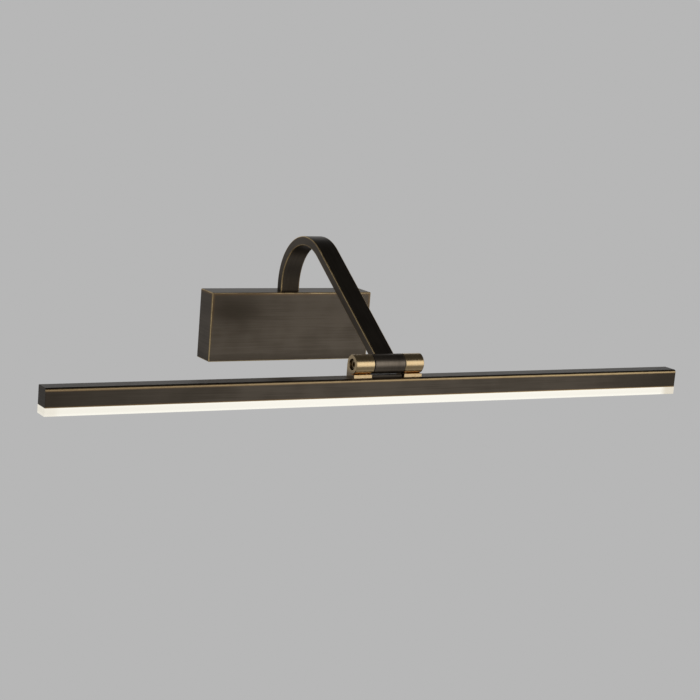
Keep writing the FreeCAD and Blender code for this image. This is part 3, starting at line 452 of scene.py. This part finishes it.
def bar_shine(finish):
    return finish.between(finish.parts(finish.place)[0], 0.7 * bar_low.x, bar_high.x, 0.28, 0.60)


# Painted shade: deeper dark near the bar's right end and a little near its left end.
def bar_end_deep_shade(finish):
    x = finish.parts(finish.place)[0]
    right = finish.between(x, 0.72 * bar_high.x, 0.98 * bar_high.x, 0.0, 0.34)
    left = finish.between(x, 0.80 * bar_low.x, bar_low.x, 0.0, 0.14)
    return finish.math("MAXIMUM", right, left)


def turned_grain(finish):
    return finish.scaled(finish.place, (1 / (0.4 * MM), 1 / (7 * MM), 1 / (7 * MM)))


def bore_shade(finish):
    """Painted shade: darker brown inside the counterbore and low on the end faces."""
    x, y, z = finish.parts(finish.node("ShaderNodeVectorMath", finish.place, tuple(HINGE),
                                       operation="SUBTRACT"))
    out = finish.node("ShaderNodeVectorMath", finish.node("ShaderNodeCombineXYZ", 0.0, y, z),
                      operation="LENGTH", out="Value")
    inside = finish.between(out, COUNTERBORE_R + 0.2 * MM, COUNTERBORE_R + 0.05 * MM, 0.0, 0.85)
    facing = finish.parts(finish.node("ShaderNodeTexCoord", out="Normal"))[0]
    end = finish.between(finish.math("ABSOLUTE", facing), 0.6, 0.9)
    low = finish.math("MULTIPLY", end, finish.between(z, -3 * MM, -9 * MM, 0.12, 0.72))
    return finish.math("MAXIMUM", inside, low)


def satin_brass(name, base, dull, rough, bored=False):
    """Turned brass: fine rings round the hinge line, faint tarnish; where bored, painted shade in the bore
    and low on the ends.
    """
    finish = Finish(name, Metallic=1.0, Coat_Weight=0.6, Coat_Roughness=0.25, Coat_IOR=2.2)
    rings = finish.noise(turned_grain(finish), 1.0, 2.0)
    wide = finish.noise(turned_grain(finish), 0.3, 2.0)
    tarnish = finish.noise(finish.place, 160.0, 3.0)
    amount = finish.between(finish.math("ADD", finish.math("MULTIPLY", wide, 0.5),
                                        finish.math("MULTIPLY", tarnish, 0.5)), 0.38, 0.68)
    brass = finish.mix(finish.math("MULTIPLY", amount, 0.55), base, dull)
    if bored:
        # Painted shade in the bore and low on the end faces.
        brass = finish.mix(bore_shade(finish), brass, BORE_SHADE_BROWN)
    finish.colour(brass)
    finish.roughness(finish.between(rings, 0.2, 0.8, rough - 0.03, rough + 0.05))
    finish.bump(rings, 0.002 * MM, 0.4)
    return finish.material


def speckled(name, base, shade, rough, size=0.8, metallic=0.0, depth=0.02, stretch=(1, 1, 1)):
    """Plain finish with a fine mottled colour, gloss and surface; size is the mottle in mm."""
    finish = Finish(name, Metallic=metallic)
    place = finish.scaled(finish.place, tuple(s / (size * MM) for s in stretch))
    mottle = finish.noise(place, 1.0, 3.0)
    drift = finish.noise(finish.place, 60.0, 2.0)
    amount = finish.math("ADD", finish.math("MULTIPLY", mottle, 0.6), finish.math("MULTIPLY", drift, 0.5),
                         clamp=True)
    finish.colour(finish.mix(amount, tuple(base) + (1,), tuple(shade) + (1,)))
    finish.roughness(finish.between(mottle, 0.25, 0.75, rough - 0.06, rough + 0.08))
    finish.bump(mottle, depth * MM, 0.5)
    return finish.material


def lit_opal():
    """Lit opal strip with faint draw lines, brighter at the metal, at its lower edge and in the middle.

    Both ends are warmer and dimmer.
    """
    finish = Finish("lit_opal", Base_Color=(0.80, 0.78, 0.72, 1), Roughness=0.32, Emission_Strength=0.72)
    x, y, z = finish.parts(finish.place)
    up = finish.math("DIVIDE", finish.math("SUBTRACT", z, glow_low.z), glow_high.z - glow_low.z)
    top = finish.between(up, 0.72, 0.98)
    foot = finish.between(up, 0.42, 0.10)
    edge = finish.math("MAXIMUM", top, foot)
    lines = finish.noise(finish.scaled(finish.place, (2.0, 900.0, 900.0)), 1.0, 2.0)
    warm = finish.mix(finish.math("MULTIPLY", lines, 0.35), (0.92, 0.89, 0.79, 1), (0.84, 0.80, 0.69, 1))
    glow = finish.mix(edge, warm, (1.0, 0.97, 0.87, 1))
    centre = finish.between(finish.math("ABSOLUTE", x), 0.9 * glow_high.x, 0.1 * glow_high.x)
    glow = finish.mix(finish.math("MULTIPLY", centre, 0.5), glow, (1.0, 0.98, 0.90, 1))
    outer = finish.math("MAXIMUM", finish.between(x, glow_high.x - 16 * MM, glow_high.x - 8 * MM, 0.0, 1.0),
                        finish.between(x, glow_low.x + 14 * MM, glow_low.x + 6 * MM, 0.0, 0.4))
    glow = finish.mix(outer, glow, (0.68, 0.61, 0.48, 1))
    finish.feed(finish.surface.inputs["Emission Color"], glow)
    finish.colour(finish.mix(lines, (0.80, 0.78, 0.72, 1), (0.76, 0.74, 0.68, 1)))
    return finish.material


bronze_box = worn_bronze("bronze_box", lambda f: box_edge(f, box_low, box_high, back=False), long_grain,
                         0.85 * MM, 3.4 * MM, dark_patch, 1.12, stain=upper_edge_brown)
# The bar's darkening and deeper dark are painted shade towards its ends.
bronze_bar = worn_bronze("bronze_bar", bar_edge, long_grain, 0.62 * MM, 1.5 * MM, bar_end_falloff_shade, 0.87,
                         bar_end_deep_shade, shine=bar_shine)
bronze_arm = worn_bronze("bronze_arm", arm_edge, arm_grain, 0.75 * MM, 1.6 * MM, tone=0.95, gloom=arm_root)
bronze_hinge = worn_bronze("bronze_hinge", lambda f: box_edge(f, barrel_low - Vector((1, 9, 9)) * MM,
                                                              barrel_high + Vector((1, 9, 9)) * MM),
                           turned_grain, 0.1 * MM, 0.4 * MM, tone=1.5)
bronze_saddle = worn_bronze("bronze_saddle", lambda f: box_edge(f, saddle_low - Vector((9, 9, 9)) * MM,
                                                                saddle_high + Vector((9, 9, 9)) * MM),
                            long_grain, 0.1 * MM, 0.4 * MM, tone=0.5)
lug_brass = satin_brass("lug_brass", (0.83, 0.60, 0.30, 1), (0.72, 0.47, 0.19, 1), 0.23, bored=True)
plug_brass = satin_brass("plug_brass", (0.83, 0.60, 0.30, 1), (0.72, 0.47, 0.19, 1), 0.25)
screw_brass = satin_brass("screw_brass", (0.50, 0.36, 0.18, 1), (0.30, 0.20, 0.09, 1), 0.38)

# ---- wall unit ----
def wall_cover():
    """Folded cover, open at the wall, with the arm's opening and the screws' holes."""
    shell = rounded_block(box_low, box_high, 0.96 * MM, lambda middle: middle.y < -0.1 * MM)
    inside = rounded_block(box_low + Vector((SHEET, SHEET, SHEET)),
                           box_high + Vector((-SHEET, 1 * MM, -SHEET)))
    gap = 0.1 * MM
    opening = rounded_block((arm_low.x - gap, ARM_Y - ARM_HALF_T - gap, box_high.z - 2 * MM),
                            (arm_high.x + gap, ARM_Y + ARM_HALF_T + gap, box_high.z + 1 * MM))
    holes = [turned([(0, 0), (0, COVER_HOLE_R), (3 * MM, COVER_HOLE_R), (3 * MM, 0)],
                    Vector((side * COVER_HOLE_SIDE, COVER_HOLE_Y, box_low.z - 1 * MM)),
                    Vector((0, 0, 1)), 32)
             for side in (-1, 1)]
    finish_piece("wall_box_cover", combined(shell, cut=[inside, opening] + holes), WALL, "dark_bronze",
                 bronze_box, "wall_cover")


def arm_tree():
    """Sweeps a hollow rounded bar along a path whose one corner is rounded."""
    tree = bpy.data.node_groups.new("bent_arm", "GeometryNodeTree")
    sockets = {}
    for name, kind in (("Path", "Geometry"), ("Bend radius", "Float"), ("Width", "Float"),
                       ("Thickness", "Float"), ("Wall", "Float"), ("Edge radius", "Float"),
                       ("Finish", "Material")):
        item = tree.interface.new_socket(name, in_out="INPUT", socket_type="NodeSocket" + kind)
        sockets[name] = item.identifier
    tree.interface.new_socket("Arm", in_out="OUTPUT", socket_type="NodeSocketGeometry")
    make, link = tree.nodes.new, tree.links.new
    given = make("NodeGroupInput")
    result = make("NodeGroupOutput")
    bend = make("GeometryNodeFilletCurve")
    bend.mode = "POLY"
    bend.inputs["Count"].default_value = 64
    link(given.outputs["Path"], bend.inputs["Curve"])
    link(given.outputs["Bend radius"], bend.inputs["Radius"])
    facing = make("GeometryNodeSetCurveNormal")
    facing.mode = "FREE"
    facing.inputs["Normal"].default_value = (1, 0, 0)
    link(bend.outputs["Curve"], facing.inputs["Curve"])
    length = make("GeometryNodeSplineParameter")
    along = make("GeometryNodeStoreNamedAttribute")
    along.domain = "POINT"
    along.inputs["Name"].default_value = "along"
    link(facing.outputs["Curve"], along.inputs["Geometry"])
    link(length.outputs["Length"], along.inputs["Value"])
    joined = make("GeometryNodeJoinGeometry")
    for inner in (False, True):
        sizes = []
        for name, times in (("Width", 2), ("Thickness", 2), ("Edge radius", 1)):
            size = given.outputs[name]
            if inner:
                shrink = make("ShaderNodeMath")
                shrink.operation = "MULTIPLY_ADD"
                link(given.outputs["Wall"], shrink.inputs[0])
                shrink.inputs[1].default_value = -times if name != "Edge radius" else -0.5
                link(size, shrink.inputs[2])
                size = shrink.outputs[0]
            sizes.append(size)
        outline = make("GeometryNodeCurvePrimitiveQuadrilateral")
        link(sizes[0], outline.inputs["Width"])
        link(sizes[1], outline.inputs["Height"])
        corner = make("GeometryNodeFilletCurve")
        corner.mode = "POLY"
        corner.inputs["Count"].default_value = 5
        link(outline.outputs["Curve"], corner.inputs["Curve"])
        link(sizes[2], corner.inputs["Radius"])
        where = make("GeometryNodeInputPosition")
        across = make("GeometryNodeStoreNamedAttribute")
        across.data_type = "FLOAT_VECTOR"
        across.domain = "POINT"
        across.inputs["Name"].default_value = "across"
        link(corner.outputs["Curve"], across.inputs["Geometry"])
        link(where.outputs["Position"], across.inputs["Value"])
        sweep = make("GeometryNodeCurveToMesh")
        link(along.outputs["Geometry"], sweep.inputs["Curve"])
        link(across.outputs["Geometry"], sweep.inputs["Profile Curve"])
        skin = sweep.outputs["Mesh"]
        if inner:
            flip = make("GeometryNodeFlipFaces")
            link(skin, flip.inputs["Mesh"])
            skin = flip.outputs["Mesh"]
        link(skin, joined.inputs["Geometry"])
    real = make("GeometryNodeRealizeInstances")
    link(joined.outputs["Geometry"], real.inputs["Geometry"])
    dressed = make("GeometryNodeSetMaterial")
    link(real.outputs["Geometry"], dressed.inputs["Geometry"])
    link(given.outputs["Finish"], dressed.inputs["Material"])
    link(dressed.outputs["Geometry"], result.inputs[0])
    return tree, sockets


def arm():
    """Bent arm: up out of the box, round the bend and down to the hinge barrel."""
    bend_centre = Vector((0, ARM_Y - BEND_R, box_high.z + ARM_RISE))
    to_axis = HINGE - bend_centre
    slope = math.atan2(-to_axis.z, -to_axis.y) + math.asin(BEND_R / math.hypot(to_axis.y, to_axis.z))
    run = Vector((0, -math.cos(slope), -math.sin(slope)))
    corner = Vector((0, ARM_Y, HINGE.z + (ARM_Y - HINGE.y) * math.tan(slope)))
    end = HINGE - run * ARM_END
    curve = bpy.data.curves.new("arm_path", "CURVE")
    curve.dimensions = "3D"
    line = curve.splines.new("POLY")
    line.points.add(2)
    for point, place in zip(line.points, (Vector((0, ARM_Y, flange_low.z)), corner, end)):
        point.co = (*place, 1)
    path = bpy.data.objects.new("arm_path", curve)
    bpy.context.scene.collection.objects.link(path)
    tree, sockets = arm_tree()
    sweep = path.modifiers.new("bent_arm", "NODES")
    sweep.node_group = tree
    for name, value in (("Bend radius", BEND_R), ("Width", arm_high.x - arm_low.x),
                        ("Thickness", 2 * ARM_HALF_T), ("Wall", ARM_WALL), ("Edge radius", 0.8 * MM),
                        ("Finish", bronze_arm)):
        sweep[sockets[name]] = value
    mesh = evaluated_mesh(path)
    bpy.data.objects.remove(path)
    bm = bmesh.new()
    bm.from_mesh(mesh)
    open_edges = [edge for edge in bm.edges if edge.is_boundary]
    for at_wall in (True, False):
        rims = [edge for edge in open_edges if (edge.verts[0].co.y > -0.1) == at_wall]
        bmesh.ops.bridge_loops(bm, edges=rims)
    bmesh.ops.recalc_face_normals(bm, faces=bm.faces)
    bm.to_mesh(mesh)
    bm.free()
    finish_piece("bent_arm", mesh, WALL, "dark_bronze", bronze_arm, "arm")


def hinge_barrel():
    half = barrel_high.x
    lip = 0.35 * MM
    body = turned([(-half, BARREL_BORE_R), (-half, HINGE_R - lip)] +
                  [(-half + lip - lip * math.cos(math.radians(a)),
                    HINGE_R - lip + lip * math.sin(math.radians(a))) for a in (30, 60, 90)] +
                  [(half - lip + lip * math.sin(math.radians(a)),
                    HINGE_R - lip + lip * math.cos(math.radians(a))) for a in (0, 30, 60)] +
                  [(half, HINGE_R - lip), (half, BARREL_BORE_R)])
    finish_piece("hinge_barrel", body, WALL, "dark_bronze", bronze_hinge, "barrel")


# ---- light bar ----
def lug(side, outer, name, bore, shelf, node):
    """Brass lug: turned cylinder with a flat foot on the bar and a web behind; outer is its far end."""
    inner = outer - (lug_high.x - lug_low.x)
    chamfer = 0.5 * MM
    past = 1 * MM
    plug_r = plug_high.z - HINGE.z
    body = turned([(side * x, r) for x, r in (
        (inner, 0), (inner, HINGE_R - chamfer), (inner + chamfer, HINGE_R), (outer - chamfer, HINGE_R),
        (outer, HINGE_R - chamfer), (outer, 0))])
    if shelf:
        lip = 0.25 * MM
        wide = [(outer - shelf, COUNTERBORE_R), (outer - lip, COUNTERBORE_R), (outer, COUNTERBORE_R + lip),
                (outer + past, COUNTERBORE_R + lip)]
    else:
        wide = [(inner + PLUG_SEAT, plug_r), (outer + past, plug_r)]
    outline = [(inner - past, 0), (inner - past, bore), (wide[0][0], bore)] + wide + [(outer + past, 0)]
    hole = turned([(side * x, r) for x, r in outline])
    x0, x1 = sorted((side * (inner + FOOT_INSET), side * outer))
    front, back = HINGE.y - FOOT_FRONT, bar_high.y
    plate_top = HINGE.z - HINGE_R + 0.15 * MM
    lip = 0.2 * MM
    foot = extruded([(front, bar_high.z), (front, plate_top - lip), (front + lip, plate_top),
                     (HINGE.y + WEB_FRONT, plate_top), (HINGE.y + WEB_FRONT, HINGE.z), (back, HINGE.z),
                     (back, bar_high.z)], x0, x1)
    finish_piece(name, combined(body, add=[foot], cut=[hole]), BAR, "brushed_brass", lug_brass, node,
                 corner=30)


def lug_plug():
    radius = plug_high.z - HINGE.z - 0.02 * MM
    lip = 0.25 * MM
    body = turned([(plug_low.x, 0), (plug_low.x, radius), (plug_high.x - lip, radius),
                   (plug_high.x, radius - lip), (plug_high.x, 0)])
    finish_piece("lug_end_plug", body, BAR, "brushed_brass", plug_brass, "lug_plug")


def saddle():
    body = rounded_block(saddle_low, saddle_high, 0.4 * MM, lambda middle: middle.z > saddle_low.z + 0.1 * MM)
    finish_piece("barrel_saddle", body, BAR, "dark_bronze", bronze_saddle, "saddle")


def bar_skin(lip):
    """Outline of the bar over its top: small lower edges, a full round in front and a small one behind."""
    y0, y1, z0, z1 = bar_low.y, bar_high.y, bar_low.z, bar_high.z
    return ([(y0 + lip, z0), (y0, z0 + lip)] + arc(y0 + FRONT_R, z1 - FRONT_R, FRONT_R, 180, 90, 10) +
            arc(y1 - BACK_R, z1 - BACK_R, BACK_R, 90, 0) + [(y1, z0 + lip), (y1 - lip, z0)])


def bar_channel():
    """Long channel, open below."""
    y0, y1, z0, z1 = bar_low.y, bar_high.y, bar_low.z, bar_high.z
    outline = bar_skin(0.25 * MM) + [(y1 - SHEET, z0), (y1 - SHEET, z1 - SHEET), (y0 + SHEET, z1 - SHEET),
                                     (y0 + SHEET, z0)]
    finish_piece("light_bar_channel", extruded(outline, bar_low.x, bar_high.x), BAR, "dark_bronze",
                 bronze_bar, "bar_channel")


def end_cap(side, node):
    """End plate with its tongue in the channel."""
    low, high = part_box(node)
    face = high.x if side > 0 else low.x
    joint = side * bar_high.x
    x0, x1 = sorted((face, joint))
    plate = extruded(bar_skin(0.25 * MM), x0, x1)
    rim = [edge for edge in plate.edges if all(abs(vert.co.x - face) < 0.01 * MM for vert in edge.verts)]
    bmesh.ops.bevel(plate, geom=rim, offset=0.3 * MM, offset_type="OFFSET", segments=3, profile=0.5,
                    affect="EDGES")
    x0, x1 = sorted((low.x if side > 0 else high.x, joint + side * 0.5 * MM))
    tongue = rounded_block((x0, low.y + TONGUE_SIDE, high.z - TONGUE_LOW),
                           (x1, high.y - TONGUE_SIDE, high.z - TONGUE_TOP))
    finish_piece("bar_end_cap_" + ("right" if side > 0 else "left"), combined(plate, add=[tongue]), BAR,
                 "dark_bronze", bronze_bar, node)


# ---- screws ----
def screw_tree():
    """Small button screw: shank, domed head and a crossed recess, all from its sizes."""
    tree = bpy.data.node_groups.new("cover_screw", "GeometryNodeTree")
    sockets = {}
    for name in ("Length", "Shank", "Head", "Head height", "Recess"):
        item = tree.interface.new_socket(name, in_out="INPUT", socket_type="NodeSocketFloat")
        sockets[name] = item.identifier
    item = tree.interface.new_socket("Finish", in_out="INPUT", socket_type="NodeSocketMaterial")
    sockets["Finish"] = item.identifier
    tree.interface.new_socket("Screw", in_out="OUTPUT", socket_type="NodeSocketGeometry")
    make, link = tree.nodes.new, tree.links.new
    given, result = make("NodeGroupInput"), make("NodeGroupOutput")

    def sum_of(a, times, b=None):
        made = make("ShaderNodeMath")
        made.operation = "MULTIPLY_ADD"
        link(a, made.inputs[0])
        made.inputs[1].default_value = times
        made.inputs[2].default_value = 0
        if b:
            link(b, made.inputs[2])
        return made.outputs[0]

    def barrel_of(radius, depth, middle, top=None):
        made = make("GeometryNodeMeshCone")
        made.inputs["Vertices"].default_value = 32
        link(radius, made.inputs["Radius Bottom"])
        link(top or radius, made.inputs["Radius Top"])
        link(depth, made.inputs["Depth"])
        move = make("GeometryNodeTransform")
        place = make("ShaderNodeCombineXYZ")
        link(middle, place.inputs["Z"])
        link(made.outputs["Mesh"], move.inputs["Geometry"])
        link(place.outputs[0], move.inputs["Translation"])
        return move.outputs["Geometry"]

    length, shank, head, tall, recess = (
        given.outputs[n] for n in ("Length", "Shank", "Head", "Head height", "Recess"))
    rim = sum_of(tall, 0.75)
    crown = sum_of(tall, 0.25)
    solid = make("GeometryNodeMeshBoolean")
    solid.operation = "UNION"
    solid.solver = "EXACT"
    link(barrel_of(shank, sum_of(tall, 0.5, length), sum_of(sum_of(tall, -0.5, length), 0.5)),
         solid.inputs["Mesh 2"])
    link(barrel_of(head, rim, sum_of(rim, -0.5)), solid.inputs["Mesh 2"])
    link(barrel_of(sum_of(head, 0.86), crown, sum_of(crown, -0.5, sum_of(rim, -1.0)), head),
         solid.inputs["Mesh 2"])
    cross = make("GeometryNodeMeshBoolean")
    cross.operation = "DIFFERENCE"
    cross.solver = "EXACT"
    link(solid.outputs["Mesh"], cross.inputs["Mesh 1"])
    for wide, deep in ((1.0, 0.27), (0.27, 1.0)):
        slot = make("GeometryNodeMeshCube")
        size, place = make("ShaderNodeCombineXYZ"), make("ShaderNodeCombineXYZ")
        move = make("GeometryNodeTransform")
        link(sum_of(recess, wide), size.inputs["X"])
        link(sum_of(recess, deep), size.inputs["Y"])
        link(tall, size.inputs["Z"])
        link(size.outputs[0], slot.inputs["Size"])
        link(sum_of(tall, -1.0), place.inputs["Z"])
        link(slot.outputs["Mesh"], move.inputs["Geometry"])
        link(place.outputs[0], move.inputs["Translation"])
        link(move.outputs["Geometry"], cross.inputs["Mesh 2"])
    real, dressed = make("GeometryNodeRealizeInstances"), make("GeometryNodeSetMaterial")
    link(cross.outputs["Mesh"], real.inputs["Geometry"])
    link(real.outputs["Geometry"], dressed.inputs["Geometry"])
    link(given.outputs["Finish"], dressed.inputs["Material"])
    link(dressed.outputs["Geometry"], result.inputs[0])
    return tree, sockets


def cover_screws(material):
    """The two screws under the box, made by the screw tree and set in place."""
    holder = bpy.data.objects.new("cover_screw", bpy.data.meshes.new("cover_screw"))
    bpy.context.scene.collection.objects.link(holder)
    tree, sockets = screw_tree()
    maker = holder.modifiers.new("cover_screw", "NODES")
    maker.node_group = tree
    head = (cover_screw_high.y - cover_screw_low.y) / 2
    tall = box_low.z - cover_screw_low.z
    for name, value in (("Length", cover_screw_high.z - box_low.z), ("Shank", COVER_SHANK_R), ("Head", head),
                        ("Head height", tall), ("Recess", 1.2 * head), ("Finish", material)):
        maker[sockets[name]] = value
    one = evaluated_mesh(holder)
    bpy.data.objects.remove(holder)
    both = bmesh.new()
    for side in (-1, 1):
        at = Vector((side * (cover_screw_high.x - head), (cover_screw_low.y + cover_screw_high.y) / 2,
                     box_low.z))
        copy = one.copy()
        copy.transform(Matrix.Translation(at))
        both.from_mesh(copy)
    finish_piece("cover_screw_pair", both, WALL, "bronze_screws", material, "cover_screws", corner=30)


def socket_head_screw():
    """Pivot screw: plain shank, head with a hexagon socket."""
    head = screw_low.x + PIVOT_HEAD
    radius = screw_high.z - HINGE.z
    shank = PIVOT_SHANK_R
    lip = 0.4 * MM
    body = turned([(screw_low.x, 0), (screw_low.x, radius - lip), (screw_low.x + lip, radius),
                   (head, radius), (head, shank), (screw_high.x - lip, shank),
                   (screw_high.x, shank - lip), (screw_high.x, 0)])
    corner = KEY_HALF / math.cos(math.radians(30))
    key = [(HINGE.y + corner * math.cos(math.radians(60 * i)),
            HINGE.z + corner * math.sin(math.radians(60 * i)))
           for i in range(6)]
    finish_piece("pivot_socket_screw", combined(body, cut=[extruded(key, screw_low.x - 1 * MM,
                                                                     screw_low.x + KEY_DEPTH)]),
                 SCREW, "screw_brass", screw_brass, "pivot_screw")


wall_cover()
arm()
hinge_barrel()
lug(-1, -lug_low.x, "brass_lug_left", LUG_BORE_R, COUNTERBORE_DEPTH, "lug_left")
lug(1, -lug_low.x, "brass_lug_right", RIGHT_BORE_R, 0, "lug_right")
lug_plug()
saddle()
bar_channel()
end_cap(-1, "end_cap_left")
end_cap(1, "end_cap_right")
socket_head_screw()
bronze_screws = speckled("bronze_screws", (0.10, 0.08, 0.06), (0.16, 0.13, 0.10), 0.38, 0.5, 1.0, 0.01)
cover_screws(bronze_screws)

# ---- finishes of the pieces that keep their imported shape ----
SLOT_FINISH = {
    "opal_acrylic": lit_opal(),
    "bronze_screws": bronze_screws,
    "zinc_steel": speckled("zinc_steel", (0.62, 0.63, 0.62), (0.46, 0.47, 0.46), 0.34, 1.6, 1.0, 0.01),
    "bare_aluminium": speckled("bare_aluminium", (0.74, 0.74, 0.75), (0.60, 0.60, 0.61), 0.36, 0.5, 1.0, 0.01,
                               (0.02, 1, 1)),
    "brushed_brass": plug_brass,
    "screw_brass": screw_brass,
    "dark_bronze": bronze_hinge,
    "board_white": speckled("board_white", (0.80, 0.80, 0.77), (0.72, 0.72, 0.69), 0.42, 0.6),
    "led_yellow": speckled("led_yellow", (0.85, 0.66, 0.12), (0.78, 0.58, 0.08), 0.35, 0.5),
    "circuit_green": speckled("circuit_green", (0.03, 0.14, 0.06), (0.05, 0.20, 0.09), 0.38, 1.2),
    "black_nylon": speckled("black_nylon", (0.012, 0.013, 0.017), (0.022, 0.024, 0.030), 0.45, 0.4),
    "black_plastic": speckled("black_plastic", (0.020, 0.020, 0.021), (0.035, 0.035, 0.036),
                               0.48, 0.4, 0.0, 0.05),
    "white_plastic": speckled("white_plastic", (0.74, 0.73, 0.70), (0.66, 0.65, 0.62), 0.46, 0.5, 0.0, 0.04),
    "black_rubber": speckled("black_rubber", (0.016, 0.016, 0.017), (0.030, 0.030, 0.031),
                              0.66, 0.6, 0.0, 0.04),
    "cable_sheath": speckled("cable_sheath", (0.55, 0.54, 0.51), (0.47, 0.46, 0.43), 0.5, 0.6, 0.0, 0.03),
    "mains_sheath": speckled("mains_sheath", (0.26, 0.10, 0.05), (0.18, 0.07, 0.035), 0.42, 0.5),
    "earth_sheath": speckled("earth_sheath", (0.16, 0.42, 0.07), (0.62, 0.56, 0.05), 0.42, 1.5),
}
for name, obj in frame["nodes"].items():
    for holder in obj.material_slots:
        wanted = holder.material.name.split(".")[0] if holder.material else ""
        if wanted in SLOT_FINISH:
            holder.material = SLOT_FINISH[wanted]


# ---- camera, light and surroundings ----
def camera():
    """Camera at the usual catalogue angle: from the left, a little above, slightly rolled."""
    target = Vector((77.3, 0, -28.2)) * MM
    azimuth, elevation, roll = (math.radians(a) for a in (-29.24, 10.13, 4.44))
    distance = 1786.7 * MM
    back = Vector((math.sin(azimuth) * math.cos(elevation), -math.cos(azimuth) * math.cos(elevation),
                   math.sin(elevation)))
    right = Vector((0, 0, 1)).cross(back).normalized()
    up = back.cross(right)
    rolled_right = right * math.cos(roll) + up * math.sin(roll)
    rolled_up = up * math.cos(roll) - right * math.sin(roll)
    lens = bpy.data.cameras.new("camera")
    lens.sensor_width = 36
    lens.lens = 96.83
    lens.clip_start = 0.01
    eye = bpy.data.objects.new("camera", lens)
    eye.matrix_world = Matrix.Translation(target + back * distance) @ Matrix(
        (rolled_right, rolled_up, back)).transposed().to_4x4()
    bpy.context.scene.collection.objects.link(eye)
    bpy.context.scene.camera = eye


def soft_box(name, azimuth, elevation, distance, width, height, radiance):
    """Soft light facing the object; azimuth from straight in front, towards +X."""
    a, e = math.radians(azimuth), math.radians(elevation)
    way = Vector((math.sin(a) * math.cos(e), -math.cos(a) * math.cos(e), math.sin(e)))
    lamp = bpy.data.lights.new(name, "AREA")
    lamp.shape = "RECTANGLE"
    lamp.size = width
    lamp.size_y = height
    lamp.energy = radiance * math.pi * width * height
    obj = bpy.data.objects.new(name, lamp)
    obj.matrix_world = Matrix.Translation(Vector((0, -0.12, 0)) + way * distance) @ way.to_track_quat(
        "Z", "Y").to_matrix().to_4x4()
    obj.visible_camera = False
    bpy.context.scene.collection.objects.link(obj)


def studio():
    """Plain pale floor running up into a plain backdrop all round, dark overhead in the reflections."""
    outline = [(-2.2, 0.0), (-2.2, 3.8)] + [(-1.4 - 0.8 * math.sin(math.radians(a)), 3.8 + 0.8 * (
        math.cos(math.radians(a)))) for a in (75, 60, 45, 30, 15, 0)] + [(3.0, 4.6), (3.0, 0.0)]
    room = temporary(turned(outline, Vector((0, 0, 0)), Vector((0, 0, 1)), 96), "floor_and_backdrop")
    paper = bpy.data.materials.new("pale_paper")
    paper.use_nodes = True
    nodes, links = paper.node_tree.nodes, paper.node_tree.links
    nodes.clear()
    even = nodes.new("ShaderNodeEmission")
    even.inputs["Color"].default_value = (0.473, 0.473, 0.473, 1)
    even.inputs["Strength"].default_value = 1.0
    links.new(even.outputs[0], nodes.new("ShaderNodeOutputMaterial").inputs["Surface"])
    room.data.materials.append(paper)
    for ray in ("diffuse", "glossy", "transmission", "volume_scatter", "shadow"):
        setattr(room, "visible_" + ray, False)
    world = bpy.data.worlds.new("studio")
    world.use_nodes = True
    tree = world.node_tree
    way = tree.nodes.new("ShaderNodeTexCoord")
    split = tree.nodes.new("ShaderNodeSeparateXYZ")
    ramp = tree.nodes.new("ShaderNodeValToRGB")
    level = tree.nodes.new("ShaderNodeMapRange")
    level.inputs["From Min"].default_value = -1
    tree.links.new(way.outputs["Generated"], split.inputs[0])
    tree.links.new(split.outputs[2], level.inputs["Value"])
    tree.links.new(level.outputs[0], ramp.inputs["Fac"])
    tree.links.new(ramp.outputs["Color"], tree.nodes["Background"].inputs["Color"])
    stops = ((0.0, 0.34), (0.10, 0.28), (0.16, 0.15), (0.27, 0.16), (0.41, 0.26), (0.50, 0.30), (0.56, 0.48),
             (0.68, 0.40), (0.76, 0.05), (1.0, 0.03))
    band = ramp.color_ramp.elements
    for (at, value), stop in zip(stops, [band[0], band[1]] + [band.new(0.5) for _ in stops[2:]]):
        stop.position = at
        stop.color = (value, value, value, 1)
    bpy.context.scene.world = world
    soft_box("key", 30, 9, 2.5, 1.7, 2.1, 0.60)
    soft_box("front_fill", -35, 0, 2.6, 1.8, 1.4, 0.12)
    bpy.context.scene.view_settings.view_transform = "Standard"


camera()
studio()
